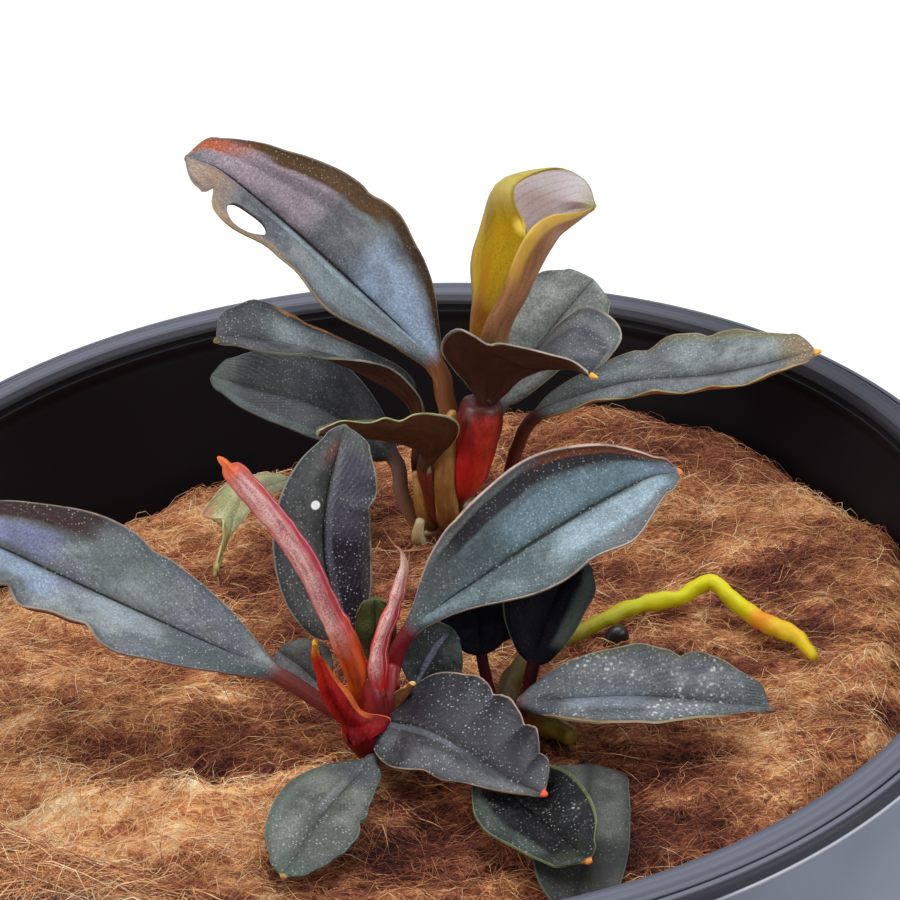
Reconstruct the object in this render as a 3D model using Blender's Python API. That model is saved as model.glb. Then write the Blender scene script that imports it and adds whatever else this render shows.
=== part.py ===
"""Bucephalandra: three tufts of a small creeping water plant in a round nursery pot.

The plants stand in a bed of coir fibre. Design values are in millimetres, and leaf
heights are measured from the top of the pot's rim. The origin is the centre of the
pot's base, with +Z up and the front of the plant towards -Y.
"""
import math

import bmesh
import bpy
from mathutils import Vector

MM = 0.001
GAP = 0.3                  # room between pieces that touch

POT_RADIUS = 45.0          # outside of the rim
POT_HEIGHT = 72.0
POT_SEGMENTS = 48
BAND_INNER = 41.9          # flat band on top of the rim
BAND_OUTER = 43.8
BEAD = 0.4                 # width of the crease and the bead inside the band
SHOULDER_DROP = 0.8
COLLAR_DEPTH = 14.0        # straight collar under the rim
COLLAR_STEP = 1.8
FOOT_RADIUS = 32.0
FOOT_WIDTH = 2.5
FOOT_HEIGHT = 1.0
WALL_FOOT = 31.5           # inside radius of the wall at the floor
FLOOR = 2.6                # top of the pot's floor

BED_TOP = -7.9             # usual height of the fibre below the rim
BED_EDGE = 36.4            # usual radius where the fibre rolls down to the wall
BED_EDGE_WIDE = 1.4        # added at the right, where the fibre nearly fills the pot
BED_EDGE_NARROW = 3.6      # taken off at the left back, where a gap shows
BED_SHOULDER = 54.0        # height below which the fibre follows the wall
BED_FLOOR = 3.2
BED_SEGMENTS = 32

LEAF_CORE = 0.6            # thickness at the midrib
LEAF_EDGE = 0.3            # thickness at the margin
STALK = 0.6                # radius of a leaf stalk
STALK_RINGS = 2
TIP_WIDTH = 0.25
STATIONS = (0.05, 0.2, 0.4, 0.6, 0.8, 0.93)       # where a leaf's half widths are given
RINGS = (0.0, 0.08, 0.22, 0.4, 0.6, 0.8, 0.93, 1.0)
COLUMNS = (-1.0, -0.5, 0.0, 0.5, 1.0)
ROLLED_COLUMNS = (-1.0, -0.75, -0.5, -0.25, 0.0, 0.25, 0.5, 0.75, 1.0)

BLUE_GREY = (0.10, 0.13, 0.14)
DARK_BLUE = (0.03, 0.04, 0.06)
BROWN = (0.10, 0.05, 0.03)
RED = (0.35, 0.03, 0.02)
PINK = (0.55, 0.16, 0.15)
OLIVE = (0.20, 0.22, 0.05)
PALE_GREEN = (0.30, 0.36, 0.18)
TAN = (0.30, 0.16, 0.06)
COIR = (0.22, 0.10, 0.05)
BLACK = (0.02, 0.02, 0.022)


def clear_scene():
    for thing in list(bpy.data.objects):
        bpy.data.objects.remove(thing)


def finish(thing, colour, roughness):
    """Give an object its own plain material."""
    material = bpy.data.materials.new(thing.name)
    material.use_nodes = True
    shader = material.node_tree.nodes["Principled BSDF"]
    shader.inputs["Base Color"].default_value = (*colour, 1.0)
    shader.inputs["Roughness"].default_value = roughness
    shader.inputs["Metallic"].default_value = 0.0
    thing.data.materials.append(material)


def add_object(name, bm, colour, roughness, sharp=60):
    mesh = bpy.data.meshes.new(name)
    bm.to_mesh(mesh)
    bm.free()
    mesh.shade_smooth()
    mesh.set_sharp_from_angle(angle=math.radians(sharp))
    thing = bpy.data.objects.new(name, mesh)
    bpy.context.collection.objects.link(thing)
    finish(thing, colour, roughness)
    return thing


def smooth_curve(points, shares):
    """Points at shares of the length of a smooth curve through the given points."""
    knots = [Vector(p) for p in points]
    knots = [2 * knots[0] - knots[1], *knots, 2 * knots[-1] - knots[-2]]
    fine = []
    for a, b, c, d in zip(knots, knots[1:], knots[2:], knots[3:]):
        for step in range(16):
            t = step / 16
            pull = (c - a) * t + (2 * a - 5 * b + 4 * c - d) * t ** 2 + (3 * b - a - 3 * c + d) * t ** 3
            fine.append(b + 0.5 * pull)
    fine.append(knots[-2])
    run = [0.0]
    for a, b in zip(fine, fine[1:]):
        run.append(run[-1] + (b - a).length)
    found = []
    for share in shares:
        at = min(max(share, 0.0), 1.0) * run[-1]
        i = min(sum(1 for length in run if length < at), len(run) - 1)
        i = max(i, 1)
        part = (at - run[i - 1]) / (run[i] - run[i - 1])
        found.append(fine[i - 1].lerp(fine[i], part))
    return found


def curve_length(points):
    fine = smooth_curve(points, [i / 60 for i in range(61)])
    return sum((b - a).length for a, b in zip(fine, fine[1:]))


def along(values, t):
    """A value at t from a list spread evenly over 0 to 1."""
    at = min(max(t, 0.0), 1.0) * (len(values) - 1)
    i = min(int(at), len(values) - 2)
    return values[i] + (values[i + 1] - values[i]) * (at - i)


def smooth_step(x):
    x = min(max(x, 0.0), 1.0)
    return x * x * (3 - 2 * x)


def face_outwards(bm):
    bmesh.ops.recalc_face_normals(bm, faces=bm.faces)
    if bm.calc_volume(signed=True) < 0:
        bmesh.ops.reverse_faces(bm, faces=bm.faces)


def loft(bm, rings):
    """Grow a closed skin through rings of equally many points, with filled ends."""
    loop = bmesh.ops.create_circle(bm, segments=len(rings[0]), radius=1.0)["verts"]
    for vert, point in zip(loop, rings[0]):
        vert.co = point
    for ring in rings[1:]:
        edges = [bm.edges.get(pair) for pair in zip(loop, loop[1:] + loop[:1])]
        grown = set(bmesh.ops.extrude_edge_only(bm, edges=edges)["geom"])
        next_loop = []
        for vert in loop:
            next_loop.append(next(edge.other_vert(vert) for edge in vert.link_edges
                                  if edge.other_vert(vert) in grown))
        loop = next_loop
        for vert, point in zip(loop, ring):
            vert.co = point
    bmesh.ops.holes_fill(bm, edges=bm.edges, sides=0)
    face_outwards(bm)


def in_pot(point):
    """A design point, measured from the rim, as a place in metres."""
    return Vector((point[0], point[1], point[2] + POT_HEIGHT)) * MM


def rod_rings(points, radii, count, sides):
    """Round rings along a curve, with the radius eased between the given ones."""
    shares = [i / (count - 1) for i in range(count)]
    centres = smooth_curve(points, shares)
    side = Vector((0.0, 0.0, 1.0))
    rings = []
    for i, centre in enumerate(centres):
        ahead = (centres[min(i + 1, count - 1)] - centres[max(i - 1, 0)]).normalized()
        if abs(ahead.dot(side)) > 0.95:
            side = Vector((1.0, 0.0, 0.0))
        side = (side - ahead * ahead.dot(side)).normalized()
        other = ahead.cross(side)
        radius = along(radii, shares[i])
        ring = []
        for k in range(sides):
            turn = 2 * math.pi * k / sides
            ring.append(in_pot(centre + (side * math.cos(turn) + other * math.sin(turn)) * radius))
        rings.append(ring)
    return rings


def rod(name, points, radii, colour, count=8, sides=10):
    """A stem, root or stub: a round rod along a curve."""
    bm = bmesh.new()
    loft(bm, rod_rings(points, radii, count, sides))
    return add_object(name, bm, colour, 0.5)


def clearance(name, points, radii, count=8, sides=10):
    """A guide that is one gap wider and longer than a rod, to cut its neighbours with."""
    ends = [Vector(p) for p in points]
    ends[0] += (ends[0] - ends[1]).normalized() * GAP
    ends[-1] += (ends[-1] - ends[-2]).normalized() * GAP
    bm = bmesh.new()
    loft(bm, rod_rings(ends, [radius + GAP for radius in radii], count, sides))
    guide = add_object(name, bm, BLACK, 0.5)
    guide.hide_render = True
    guide.display_type = "WIRE"
    return guide


def cut(thing, *guides):
    for guide in guides:
        modifier = thing.modifiers.new("clear_" + guide.name, "BOOLEAN")
        modifier.operation = "DIFFERENCE"
        modifier.solver = "EXACT"
        modifier.object = guide


def half_width(widths, stalk, t):
    """Half width of a blade at t, eased through the values at the stations."""
    if t <= 0.0:
        return stalk
    if t >= 1.0:
        return TIP_WIDTH
    places = (0.0, *STATIONS, 1.0)
    values = (stalk, *widths, TIP_WIDTH)
    i = next(k for k in range(1, len(places)) if t <= places[k])
    part = (t - places[i - 1]) / (places[i] - places[i - 1])
    if i == len(places) - 1:
        part = part ** 2
    return values[i - 1] + (values[i] - values[i - 1]) * part


def leaf_ring(centre, ahead, face, t, left, right, fold, curl, stalk, columns):
    """One section of a leaf: its upper side from left to right, then its underside back."""
    across = ahead.cross(face)
    flat = smooth_step(t / 0.16)
    top, under = [], []
    for column in columns:
        side = 0 if column < 0 else 1
        sign = -1 if column < 0 else 1
        share = abs(column)
        reach = half_width((left, right)[side], stalk, t)
        steepest = math.atan2(0.5 * reach, LEAF_CORE)
        rise = min(math.radians(along(fold[side], t)), steepest) * flat
        roll = math.radians(along(curl[side], t)) * flat
        if abs(roll) > 0.001:
            out = (math.sin(rise + roll * share) - math.sin(rise)) / roll
            up = (math.cos(rise) - math.cos(rise + roll * share)) / roll
        else:
            out = math.cos(rise) * share
            up = math.sin(rise) * share
        turn = rise + roll * share if share else 0.0
        normal = face * math.cos(turn) - across * (sign * math.sin(turn))
        middle = centre + across * (sign * reach * out) + face * (reach * up)
        round_half = stalk * math.sqrt(1 - (0.93 * share) ** 2)
        blade_half = 0.5 * (LEAF_EDGE + (LEAF_CORE - LEAF_EDGE) * (1 - share ** 1.5))
        half = round_half + (blade_half - round_half) * flat
        top.append(in_pot(middle + normal * half))
        under.append(in_pot(middle - normal * half))
    return top + under[::-1]


def leaf(name, spine, stalk_points, left, right, faces, fold, curl=((0, 0), (0, 0)),
         stalk=STALK, columns=COLUMNS, colour=BLUE_GREY):
    """A leaf with its stalk: a closed loft along the midrib.

    The first stalk_points of the spine are the stalk. Left and right are the half
    widths at the stations, seen from above with the tip ahead. The faces are the
    directions that the upper side looks in, from base to tip. The fold lifts each half
    at the midrib and the curl bends it on towards its margin, base and tip, in degrees.
    """
    start = 0.0
    if stalk_points:
        start = curve_length(spine[:stalk_points + 1]) / curve_length(spine)
    shares = [start * i / STALK_RINGS for i in range(STALK_RINGS)] if stalk_points else []
    shares += [start + (1 - start) * t for t in RINGS]
    centres = smooth_curve(spine, shares)
    before = smooth_curve(spine, [share - 0.01 for share in shares])
    after = smooth_curve(spine, [share + 0.01 for share in shares])
    looks = [Vector(face).normalized() for face in faces]
    rings = []
    for share, centre, a, b in zip(shares, centres, before, after):
        t = (share - start) / (1 - start)
        ahead = (b - a).normalized()
        face = along(looks, t)
        face = (face - ahead * ahead.dot(face)).normalized()
        rings.append(leaf_ring(centre, ahead, face, t, left, right, fold, curl, stalk, columns))
    bm = bmesh.new()
    loft(bm, rings)
    return add_object(name, bm, colour, 0.4)


def turned(name, profile, segments, colour, roughness):
    """Spin a closed outline, given from axis to axis, about Z."""
    bm = bmesh.new()
    verts = [bm.verts.new(Vector((r, 0.0, z)) * MM) for r, z in profile]
    edges = [bm.edges.new(pair) for pair in zip(verts, verts[1:])]
    bmesh.ops.spin(bm, geom=verts + edges, cent=(0, 0, 0), axis=(0, 0, 1), angle=2 * math.pi,
                   steps=segments, use_merge=True, use_duplicate=False)
    bmesh.ops.remove_doubles(bm, verts=bm.verts, dist=0.00001)
    face_outwards(bm)
    return add_object(name, bm, colour, roughness, sharp=25)


def wall_radius(z):
    """Inside radius of the pot's wall at a height above its base."""
    top = POT_HEIGHT - 1.4
    share = (z - FLOOR) / (top - FLOOR)
    return WALL_FOOT + (BAND_INNER - BEAD - WALL_FOOT) * min(share, 1.0)


def pot():
    """Thin-walled nursery pot with a flat-topped rim, a straight collar and a foot ring."""
    collar = POT_HEIGHT - COLLAR_DEPTH
    foot_inner = FOOT_RADIUS - FOOT_WIDTH
    profile = [
        (0.0, FOOT_HEIGHT), (foot_inner, FOOT_HEIGHT), (foot_inner, 0.0), (FOOT_RADIUS, 0.0),
        (FOOT_RADIUS + 1.0, 1.0),
        (POT_RADIUS - COLLAR_STEP, collar - 0.6), (POT_RADIUS, collar),
        (POT_RADIUS, POT_HEIGHT - SHOULDER_DROP), (BAND_OUTER + 0.1, POT_HEIGHT - 0.15),
        (BAND_OUTER, POT_HEIGHT), (BAND_INNER, POT_HEIGHT),
        (BAND_INNER, POT_HEIGHT - 0.6), (BAND_INNER - BEAD, POT_HEIGHT - 1.0),
        (BAND_INNER - BEAD, POT_HEIGHT - 1.4), (wall_radius(FLOOR), FLOOR), (0.0, FLOOR),
    ]
    return turned("pot", profile, POT_SEGMENTS, BLACK, 0.35)


def bed_top(x, y):
    """Height of the fibre from the rim: nearly flat, with a low left back and front."""
    low_back = 2.6 * smooth_step((y - 0.75 * x - 14.0) / 26.0)
    low_front = 0.9 * smooth_step((-y - 14.0) / 12.0)
    high_right = 0.9 * smooth_step((0.87 * x + 0.5 * y - 12.0) / 18.0)
    swell = 0.35 * math.sin(0.16 * x + 0.5) * math.cos(0.13 * y) + 0.2 * math.sin(0.31 * y - 0.21 * x)
    return BED_TOP - low_back - low_front + high_right + swell


def bed_edge(turn):
    """Radius of the rolled edge of the fibre at an angle round the pot."""
    wide = BED_EDGE_WIDE * smooth_step(math.cos(turn - math.radians(35)))
    narrow = BED_EDGE_NARROW * smooth_step(1.2 * math.cos(turn - math.radians(120)))
    return BED_EDGE + wide - narrow


def fibre_bed():
    """The wad of fibre: its rolled edge leaves a gap at the wall, and it fills the pot below."""
    turns = [2 * math.pi * k / BED_SEGMENTS for k in range(BED_SEGMENTS)]
    rings = []
    for z in (BED_FLOOR, 0.5 * POT_HEIGHT, BED_SHOULDER):
        radius = wall_radius(z) - GAP
        rings.append([Vector((radius * math.cos(turn), radius * math.sin(turn), z)) * MM for turn in turns])
    for outside, drop in ((2.2, 5.0), (1.5, 2.2), (0.0, 0.7), (-3.0, 0.0)):
        ring = []
        for turn in turns:
            radius = bed_edge(turn) + outside
            height = POT_HEIGHT + bed_top(radius * math.cos(turn), radius * math.sin(turn)) - drop
            radius = min(radius, wall_radius(height) - GAP)
            ring.append(Vector((radius * math.cos(turn), radius * math.sin(turn), height)) * MM)
        rings.append(ring)
    for radius in (26.0, 18.0, 10.0, 4.0):
        ring = []
        for turn in turns:
            x, y = radius * math.cos(turn), radius * math.sin(turn)
            ring.append(in_pot((x, y, bed_top(x, y))))
        rings.append(ring)
    bm = bmesh.new()
    loft(bm, rings)
    return add_object("fibre_bed", bm, COIR, 0.9)


def level(value):
    return ((value, value), (value, value))


def front_plant(bed):
    """The front tuft: a short red stem with leaves all round its crown."""
    route = [(-1.7, -14.6, -11.0), (-1.8, -14.4, -8.0), (-2.1, -13.9, -6.2), (-2.2, -13.4, -4.4)]
    radii = (1.0, 1.0, 1.3, 0.9)
    rod("front_stem", route, radii, RED)
    crown = clearance("front_stem_clearance", route, radii)
    cut(bed, crown)
    leaves = [
        leaf("front_leaf_left",
             [(-2.2, -13.4, -5.9), (-3.6, -13.1, -5.5), (-5.2, -12.8, -4.5), (-8.1, -12.0, -2.5),
              (-14.8, -10.3, 0.6), (-21.4, -8.6, 3.7), (-27.8, -6.9, 6.7), (-31.5, -6.0, 7.5)], 3,
             (0.9, 2.9, 4.3, 3.8, 4.2, 2.9), (1.1, 3.0, 4.4, 5.1, 3.7, 2.2),
             ((0, -0.55, 0.83), (0.1, -0.6, 0.8)), ((30, 30), (10, 10)), stalk=0.55),
        leaf("front_leaf_centre",
             [(-2.1, -13.2, -5.0), (-2.7, -11.3, -4.1), (-3.2, -9.7, -1.4), (-4.3, -7.9, 3.6),
              (-3.9, -6.6, 8.2), (-2.3, -4.5, 12.8)], 2,
             (1.7, 2.7, 3.4, 3.6, 2.5, 1.0), (0.7, 2.0, 3.3, 3.4, 3.4, 2.2),
             ((0, -0.9, 0.45), (0, -0.95, 0.3)), level(18), stalk=0.5),
        leaf("front_leaf_right",
             [(-1.8, -13.3, -5.6), (-0.2, -12.4, -3.7), (1.3, -11.8, 0.3), (7.1, -9.9, 3.5),
              (12.6, -7.9, 5.9), (18.1, -6.0, 7.8), (20.9, -5.0, 7.7)], 2,
             (1.0, 3.5, 5.1, 5.6, 3.9, 1.0), (0.6, 1.5, 3.4, 3.8, 3.3, 1.7),
             ((0, -0.65, 0.76), (0.1, -0.6, 0.8)), level(8), ((30, 30), (8, 8)),
             stalk=0.55),
        leaf("front_leaf_low_right",
             [(-1.6, -14.0, -6.2), (-0.8, -15.3, -5.4), (0.3, -16.2, -3.9), (4.5, -19.0, -4.0),
              (8.2, -22.4, -5.0), (9.6, -24.0, -5.0)], 2,
             (1.6, 3.0, 4.8, 4.1, 3.4, 2.2), (1.9, 3.3, 2.6, 1.5, 0.9, 0.4),
             ((-0.1, -0.35, 0.93), (0.1, -0.45, 0.9)), ((5, 5), (-12, -12))),
        leaf("front_leaf_low_left",
             [(-2.0, -14.4, -7.6), (-1.9, -15.9, -7.0), (-2.0, -17.5, -6.6), (-4.9, -22.8, -6.4),
              (-7.4, -28.0, -7.0)], 2,
             (1.2, 1.7, 2.3, 2.8, 2.4, 1.4), (1.1, 2.2, 2.9, 2.9, 2.3, 1.2),
             ((0, -0.3, 0.95), (0, -0.35, 0.93)), level(6), stalk=0.5),
        leaf("front_leaf_small_left",
             [(-2.5, -13.0, -6.3), (-3.4, -11.3, -6.1), (-5.0, -10.1, -5.2), (-6.6, -9.6, -3.6),
              (-8.2, -8.6, -2.8)], 2,
             (0.7, 1.2, 1.5, 1.5, 1.1, 0.5), (0.8, 1.6, 2.0, 2.0, 1.4, 0.7),
             ((0, -0.6, 0.8), (0, -0.6, 0.8)), level(10), stalk=0.4, colour=DARK_BLUE),
        leaf("front_leaf_small_back",
             [(-1.7, -13.0, -6.0), (-1.2, -11.4, -5.4), (-1.4, -11.0, -2.8), (-1.1, -11.2, 0.0),
              (-0.9, -11.2, 2.5)], 2,
             (0.5, 0.7, 0.9, 1.1, 1.1, 0.8), (0.5, 0.7, 0.9, 1.1, 1.1, 0.8),
             ((0, -1, 0.2), (0, -1, 0.2)), level(10), stalk=0.3, colour=OLIVE),
        leaf("front_leaf_small_right",
             [(-1.4, -13.5, -6.9), (0.2, -12.2, -6.0), (1.3, -11.2, -3.9), (2.8, -10.5, -2.2),
              (4.2, -10.0, -1.8)], 2,
             (0.6, 1.1, 1.5, 1.6, 1.2, 0.6), (0.7, 1.4, 1.8, 1.8, 1.3, 0.7),
             ((0, -0.8, 0.6), (0, -0.8, 0.6)), level(5), stalk=0.4),
    ]
    for thing in leaves:
        cut(thing, crown)
    rolled = rod("front_leaf_rolled",
                 [(-2.8, -13.9, -4.8), (-2.9, -14.4, -1.4), (-3.7, -14.8, 3.2), (-5.3, -15.3, 8.2),
                  (-7.6, -15.9, 12.8), (-9.4, -16.4, 16.8), (-9.9, -17.0, 18.6)],
                 (0.6, 0.95, 1.15, 1.05, 0.95, 0.75, 0.3), PINK, 12)
    spear = rod("front_leaf_spear",
                [(-1.2, -14.1, -4.6), (-0.9, -14.2, -2.5), (-0.7, -14.3, 0.2), (-0.1, -14.6, 2.2),
                 (0.7, -14.9, 4.5), (1.3, -15.2, 7.1), (1.3, -15.5, 9.3)],
                (0.55, 0.7, 0.85, 0.9, 0.75, 0.5, 0.2), PINK, 10)
    sheath = rod("front_sheath",
                 [(-2.4, -14.2, -6.5), (-3.4, -15.8, -5.0), (-4.2, -16.2, -1.8), (-4.7, -16.2, 1.0),
                  (-5.0, -16.3, 2.7)], (0.6, 0.75, 0.75, 0.5, 0.2), RED)
    small_sheath = rod("front_sheath_small",
                       [(-1.2, -13.6, -6.0), (0.2, -13.9, -4.7), (0.9, -14.0, -2.6)],
                       (0.25, 0.3, 0.15), BROWN, 5, 8)
    for thing in (rolled, spear, sheath, small_sheath):
        cut(thing, crown)


def back_plant(bed):
    """The back tuft: a creeping stem, a thick red sheath and tall leaves."""
    route = [(1.4, 15.4, -11.5), (3.0, 15.8, -9.0), (5.0, 16.2, -7.8), (7.2, 16.6, -7.6),
             (9.0, 17.2, -9.0)]
    radii = (1.1, 1.3, 1.4, 1.3, 1.0)
    rod("back_stem", route, radii, TAN)
    stem = clearance("back_stem_clearance", route, radii)
    cut(bed, stem)
    sheath_route = [(7.0, 16.2, -7.0), (6.5, 14.6, -5.0), (6.4, 13.7, -2.2), (7.2, 13.6, 1.6),
                    (7.8, 13.6, 3.8)]
    sheath_radii = (1.1, 1.2, 1.3, 1.4, 1.3)
    sheath = rod("back_sheath", sheath_route, sheath_radii, RED)
    cut(sheath, stem)
    around_sheath = clearance("back_sheath_clearance", sheath_route, sheath_radii)
    leaves = [
        leaf("back_leaf_high",
             [(4.7, 16.5, -7.4), (4.4, 16.1, -5.0), (4.5, 15.8, -2.0), (5.0, 16.0, 1.2),
              (4.7, 16.2, 3.6), (4.0, 16.5, 6.4), (-1.5, 17.1, 12.9), (-7.5, 17.6, 19.5),
              (-11.0, 18.1, 22.8), (-13.5, 18.5, 23.9)], 5,
             (1.0, 2.3, 3.9, 2.8, 4.2, 3.0), (1.6, 3.8, 5.6, 5.6, 4.1, 2.0),
             ((0, -0.75, 0.66), (-0.1, -0.65, 0.75)), ((34, 34), (10, 10)), stalk=0.75),
        leaf("back_leaf_twisted",
             [(3.4, 16.4, -8.2), (2.5, 17.5, -6.2), (2.3, 17.6, -3.0), (2.7, 16.8, 1.0),
              (1.3, 15.6, 4.3), (-2.2, 14.5, 7.5), (-6.0, 13.5, 9.9), (-10.4, 12.5, 11.6),
              (-12.1, 12.0, 11.7)], 3,
             (0.9, 1.4, 1.9, 1.7, 1.5, 0.8), (0.8, 1.8, 1.9, 2.0, 3.0, 2.0),
             ((0.8, 0.1, 0.6), (0, 0, 1), (0, -0.35, 0.93), (0, -0.7, 0.7)), ((72, 12), (55, 5)),
             colour=BROWN),
        leaf("back_leaf_low_left",
             [(2.7, 15.8, -8.3), (1.6, 15.4, -6.8), (0.8, 15.8, -4.8), (0.2, 17.0, -2.0),
              (-5.1, 19.0, 1.6), (-10.4, 21.0, 2.7), (-13.9, 22.0, 3.4)], 3,
             (1.4, 2.2, 3.3, 3.2, 2.4, 1.3), (1.1, 2.6, 3.9, 4.1, 3.2, 1.9),
             ((0, -0.6, 0.8), (0, -0.6, 0.8)), ((22, 22), (8, 8))),
        leaf("back_leaf_brown",
             [(4.0, 15.8, -7.7), (3.6, 14.2, -6.0), (3.3, 13.1, -3.7), (3.1, 12.8, -1.8),
              (0.9, 11.4, 1.2), (-1.7, 10.4, 3.2), (-5.1, 9.0, 4.8)], 2,
             (0.8, 2.4, 5.6, 4.9, 2.0, 1.4), (0.8, 2.0, 3.0, 2.6, 1.6, 0.8),
             ((1, 0.1, 0.2), (0.5, 0, 0.9), (0, 0, 1), (0, 0, 1)), ((78, 50), (55, 30)),
             colour=BROWN),
        leaf("back_leaf_grey",
             [(6.4, 16.9, -7.8), (6.4, 18.2, -5.6), (7.6, 18.6, -2.0), (9.4, 19.0, 1.1),
              (13.1, 21.0, 5.8), (17.1, 23.0, 9.5)], 3,
             (0.8, 1.4, 2.4, 3.1, 3.2, 1.8), (0.8, 1.4, 2.2, 3.1, 3.3, 2.4),
             ((0, -0.7, 0.7), (0, -0.7, 0.7)), level(8), stalk=0.5),
        leaf("back_leaf_folded",
             [(7.6, 13.6, 2.9), (8.1, 13.5, 4.3), (9.4, 12.9, 5.5), (11.4, 11.8, 7.3),
              (13.9, 10.9, 8.4), (15.9, 9.3, 8.0)], 1,
             (0.9, 1.8, 3.4, 4.4, 4.0, 3.0), (3.2, 5.8, 6.4, 5.8, 5.0, 4.2),
             ((-1, 0.1, 0.2), (-0.4, 0, 1), (0, 0, 1), (0, 0, 1)), ((60, 36), (66, 48)),
             colour=BROWN),
        leaf("back_leaf_right",
             [(7.9, 17.0, -7.8), (9.2, 16.6, -5.2), (10.2, 16.2, -1.6), (12.1, 16.0, 1.5),
              (18.6, 15.3, 4.1), (26.0, 14.7, 4.7), (33.4, 14.0, 6.5)], 3,
             (1.0, 1.7, 2.6, 4.0, 3.1, 1.9), (0.8, 1.6, 2.4, 2.1, 1.9, 0.9),
             ((0, -0.45, 0.9), (0, -0.45, 0.9)), ((5, 5), (15, 15)), stalk=0.5),
    ]
    rolled = leaf("back_leaf_rolled",
                  [(7.3, 14.2, 0.8), (7.9, 16.2, 3.2), (8.7, 17.8, 6.4), (9.5, 19.2, 9.6),
                   (10.7, 20.1, 12.7), (13.0, 20.6, 15.3), (16.9, 20.0, 17.1)], 2,
                  (1.4, 4.2, 7.8, 10.6, 8.8, 4.6), (1.2, 3.4, 6.0, 7.8, 5.6, 2.6),
                  ((-0.5, -0.85, 0.2), (-0.5, -0.8, 0.3)), level(0),
                  ((70, 140, 158, 172, 145, 10), (70, 130, 145, 150, 118, 10)),
                  columns=ROLLED_COLUMNS, colour=OLIVE)
    for thing in leaves:
        cut(thing, stem)
    cut(leaves[5], around_sheath)
    cut(rolled, around_sheath)
    stub_route = [(2.4, 15.2, -9.6), (1.9, 13.6, -7.6), (2.2, 13.2, -5.8)]
    stub_radii = (0.5, 0.5, 0.3)
    stub = rod("back_stub", stub_route, stub_radii, TAN, 5, 8)
    cut(stub, stem)
    cut(bed, clearance("back_stub_clearance", stub_route, stub_radii, 5, 8))


def side_plant(bed):
    """The tuft at the right: a creeping stem with a dead end, low leaves and a green root."""
    route = [(5.0, -11.6, -11.0), (6.2, -12.0, -8.2), (8.4, -12.8, -6.7), (10.6, -13.8, -6.9),
             (12.3, -15.3, -7.2)]
    radii = (1.0, 1.2, 1.3, 1.1, 0.8)
    rod("side_stem", route, radii, RED)
    stem = clearance("side_stem_clearance", route, radii)
    cut(bed, stem)
    leaves = [
        leaf("side_leaf_right",
             [(8.5, -13.0, -6.4), (8.9, -14.2, -5.0), (9.2, -14.5, -4.4), (16.6, -15.5, -3.7),
              (23.2, -16.5, -4.2), (25.5, -17.0, -4.4)], 2,
             (1.0, 2.6, 3.4, 3.3, 3.1, 1.7), (0.8, 2.2, 2.9, 2.4, 1.3, 0.5),
             ((0, -0.5, 0.87), (0, -0.55, 0.85)), ((8, 8), (28, 28)), stalk=0.5),
        leaf("side_leaf_round",
             [(7.6, -13.0, -7.0), (6.4, -15.6, -6.7), (5.9, -18.4, -6.8), (7.6, -22.2, -6.6),
              (10.0, -26.2, -6.2), (12.1, -30.0, -6.0)], 2,
             (2.4, 3.1, 3.8, 3.6, 2.6, 1.2), (0.9, 2.2, 3.4, 3.5, 2.9, 2.2),
             ((0, -0.15, 0.98), (0, -0.2, 0.97)), ((14, 14), (8, 8)), stalk=0.5),
        leaf("side_leaf_hanging",
             [(10.6, -13.8, -6.8), (12.4, -15.8, -6.9), (13.0, -18.0, -7.3), (12.6, -24.0, -7.7),
              (11.4, -30.5, -8.0), (10.8, -34.0, -7.8)], 2,
             (1.3, 2.4, 2.5, 2.6, 2.2, 1.7), (1.5, 2.6, 3.2, 3.3, 2.2, 0.9),
             ((0.1, -0.1, 0.98), (0.1, -0.2, 0.97)), level(5), stalk=0.4),
        leaf("side_leaf_dark",
             [(9.2, -12.9, -6.3), (9.4, -11.8, -5.0), (9.8, -11.2, -3.4), (11.5, -9.2, 0.5),
              (13.3, -7.4, 3.0)], 2,
             (0.7, 1.5, 2.9, 3.4, 2.5, 1.4), (0.7, 1.2, 1.6, 1.8, 1.8, 1.1),
             ((0, -0.9, 0.4), (0, -0.9, 0.4)), level(12), stalk=0.45, colour=DARK_BLUE),
        leaf("side_leaf_dark_low",
             [(7.0, -12.3, -7.0), (6.5, -11.3, -4.8), (6.2, -10.6, -2.2), (6.0, -9.4, -0.6),
              (5.6, -8.0, 1.4)], 2,
             (0.7, 1.2, 1.5, 1.6, 1.2, 0.6), (0.8, 1.6, 2.0, 2.0, 1.5, 0.7),
             ((0, -1, 0.2), (0, -1, 0.2)), level(5), stalk=0.4, colour=DARK_BLUE),
        leaf("side_leaf_dark_back",
             [(6.0, -12.0, -7.6), (4.8, -10.3, -6.2), (4.3, -9.2, -4.4), (4.8, -8.2, -2.8),
              (7.4, -6.9, -1.3), (9.6, -6.2, -0.5)], 3,
             (0.7, 1.4, 1.8, 1.8, 1.3, 0.6), (0.8, 1.5, 2.0, 2.0, 1.4, 0.7),
             ((0, -0.9, 0.4), (0, -0.9, 0.4)), level(5), stalk=0.4, colour=DARK_BLUE),
    ]
    root = rod("green_root",
               [(7.9, -12.4, -6.7), (7.8, -10.6, -6.2), (8.6, -8.2, -5.8), (10.4, -5.4, -6.2),
                (12.4, -3.5, -6.7), (15.2, -1.7, -6.6), (18.3, -0.1, -6.4), (21.3, 0.2, -6.2),
                (23.8, 0.9, -5.4), (25.7, -0.9, -6.0), (27.5, -3.5, -6.4), (29.3, -5.4, -6.8)],
               (0.7, 0.65, 0.65, 0.6, 0.5, 0.4), OLIVE, 22, 8)
    for thing in (*leaves, root):
        cut(thing, stem)


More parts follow.
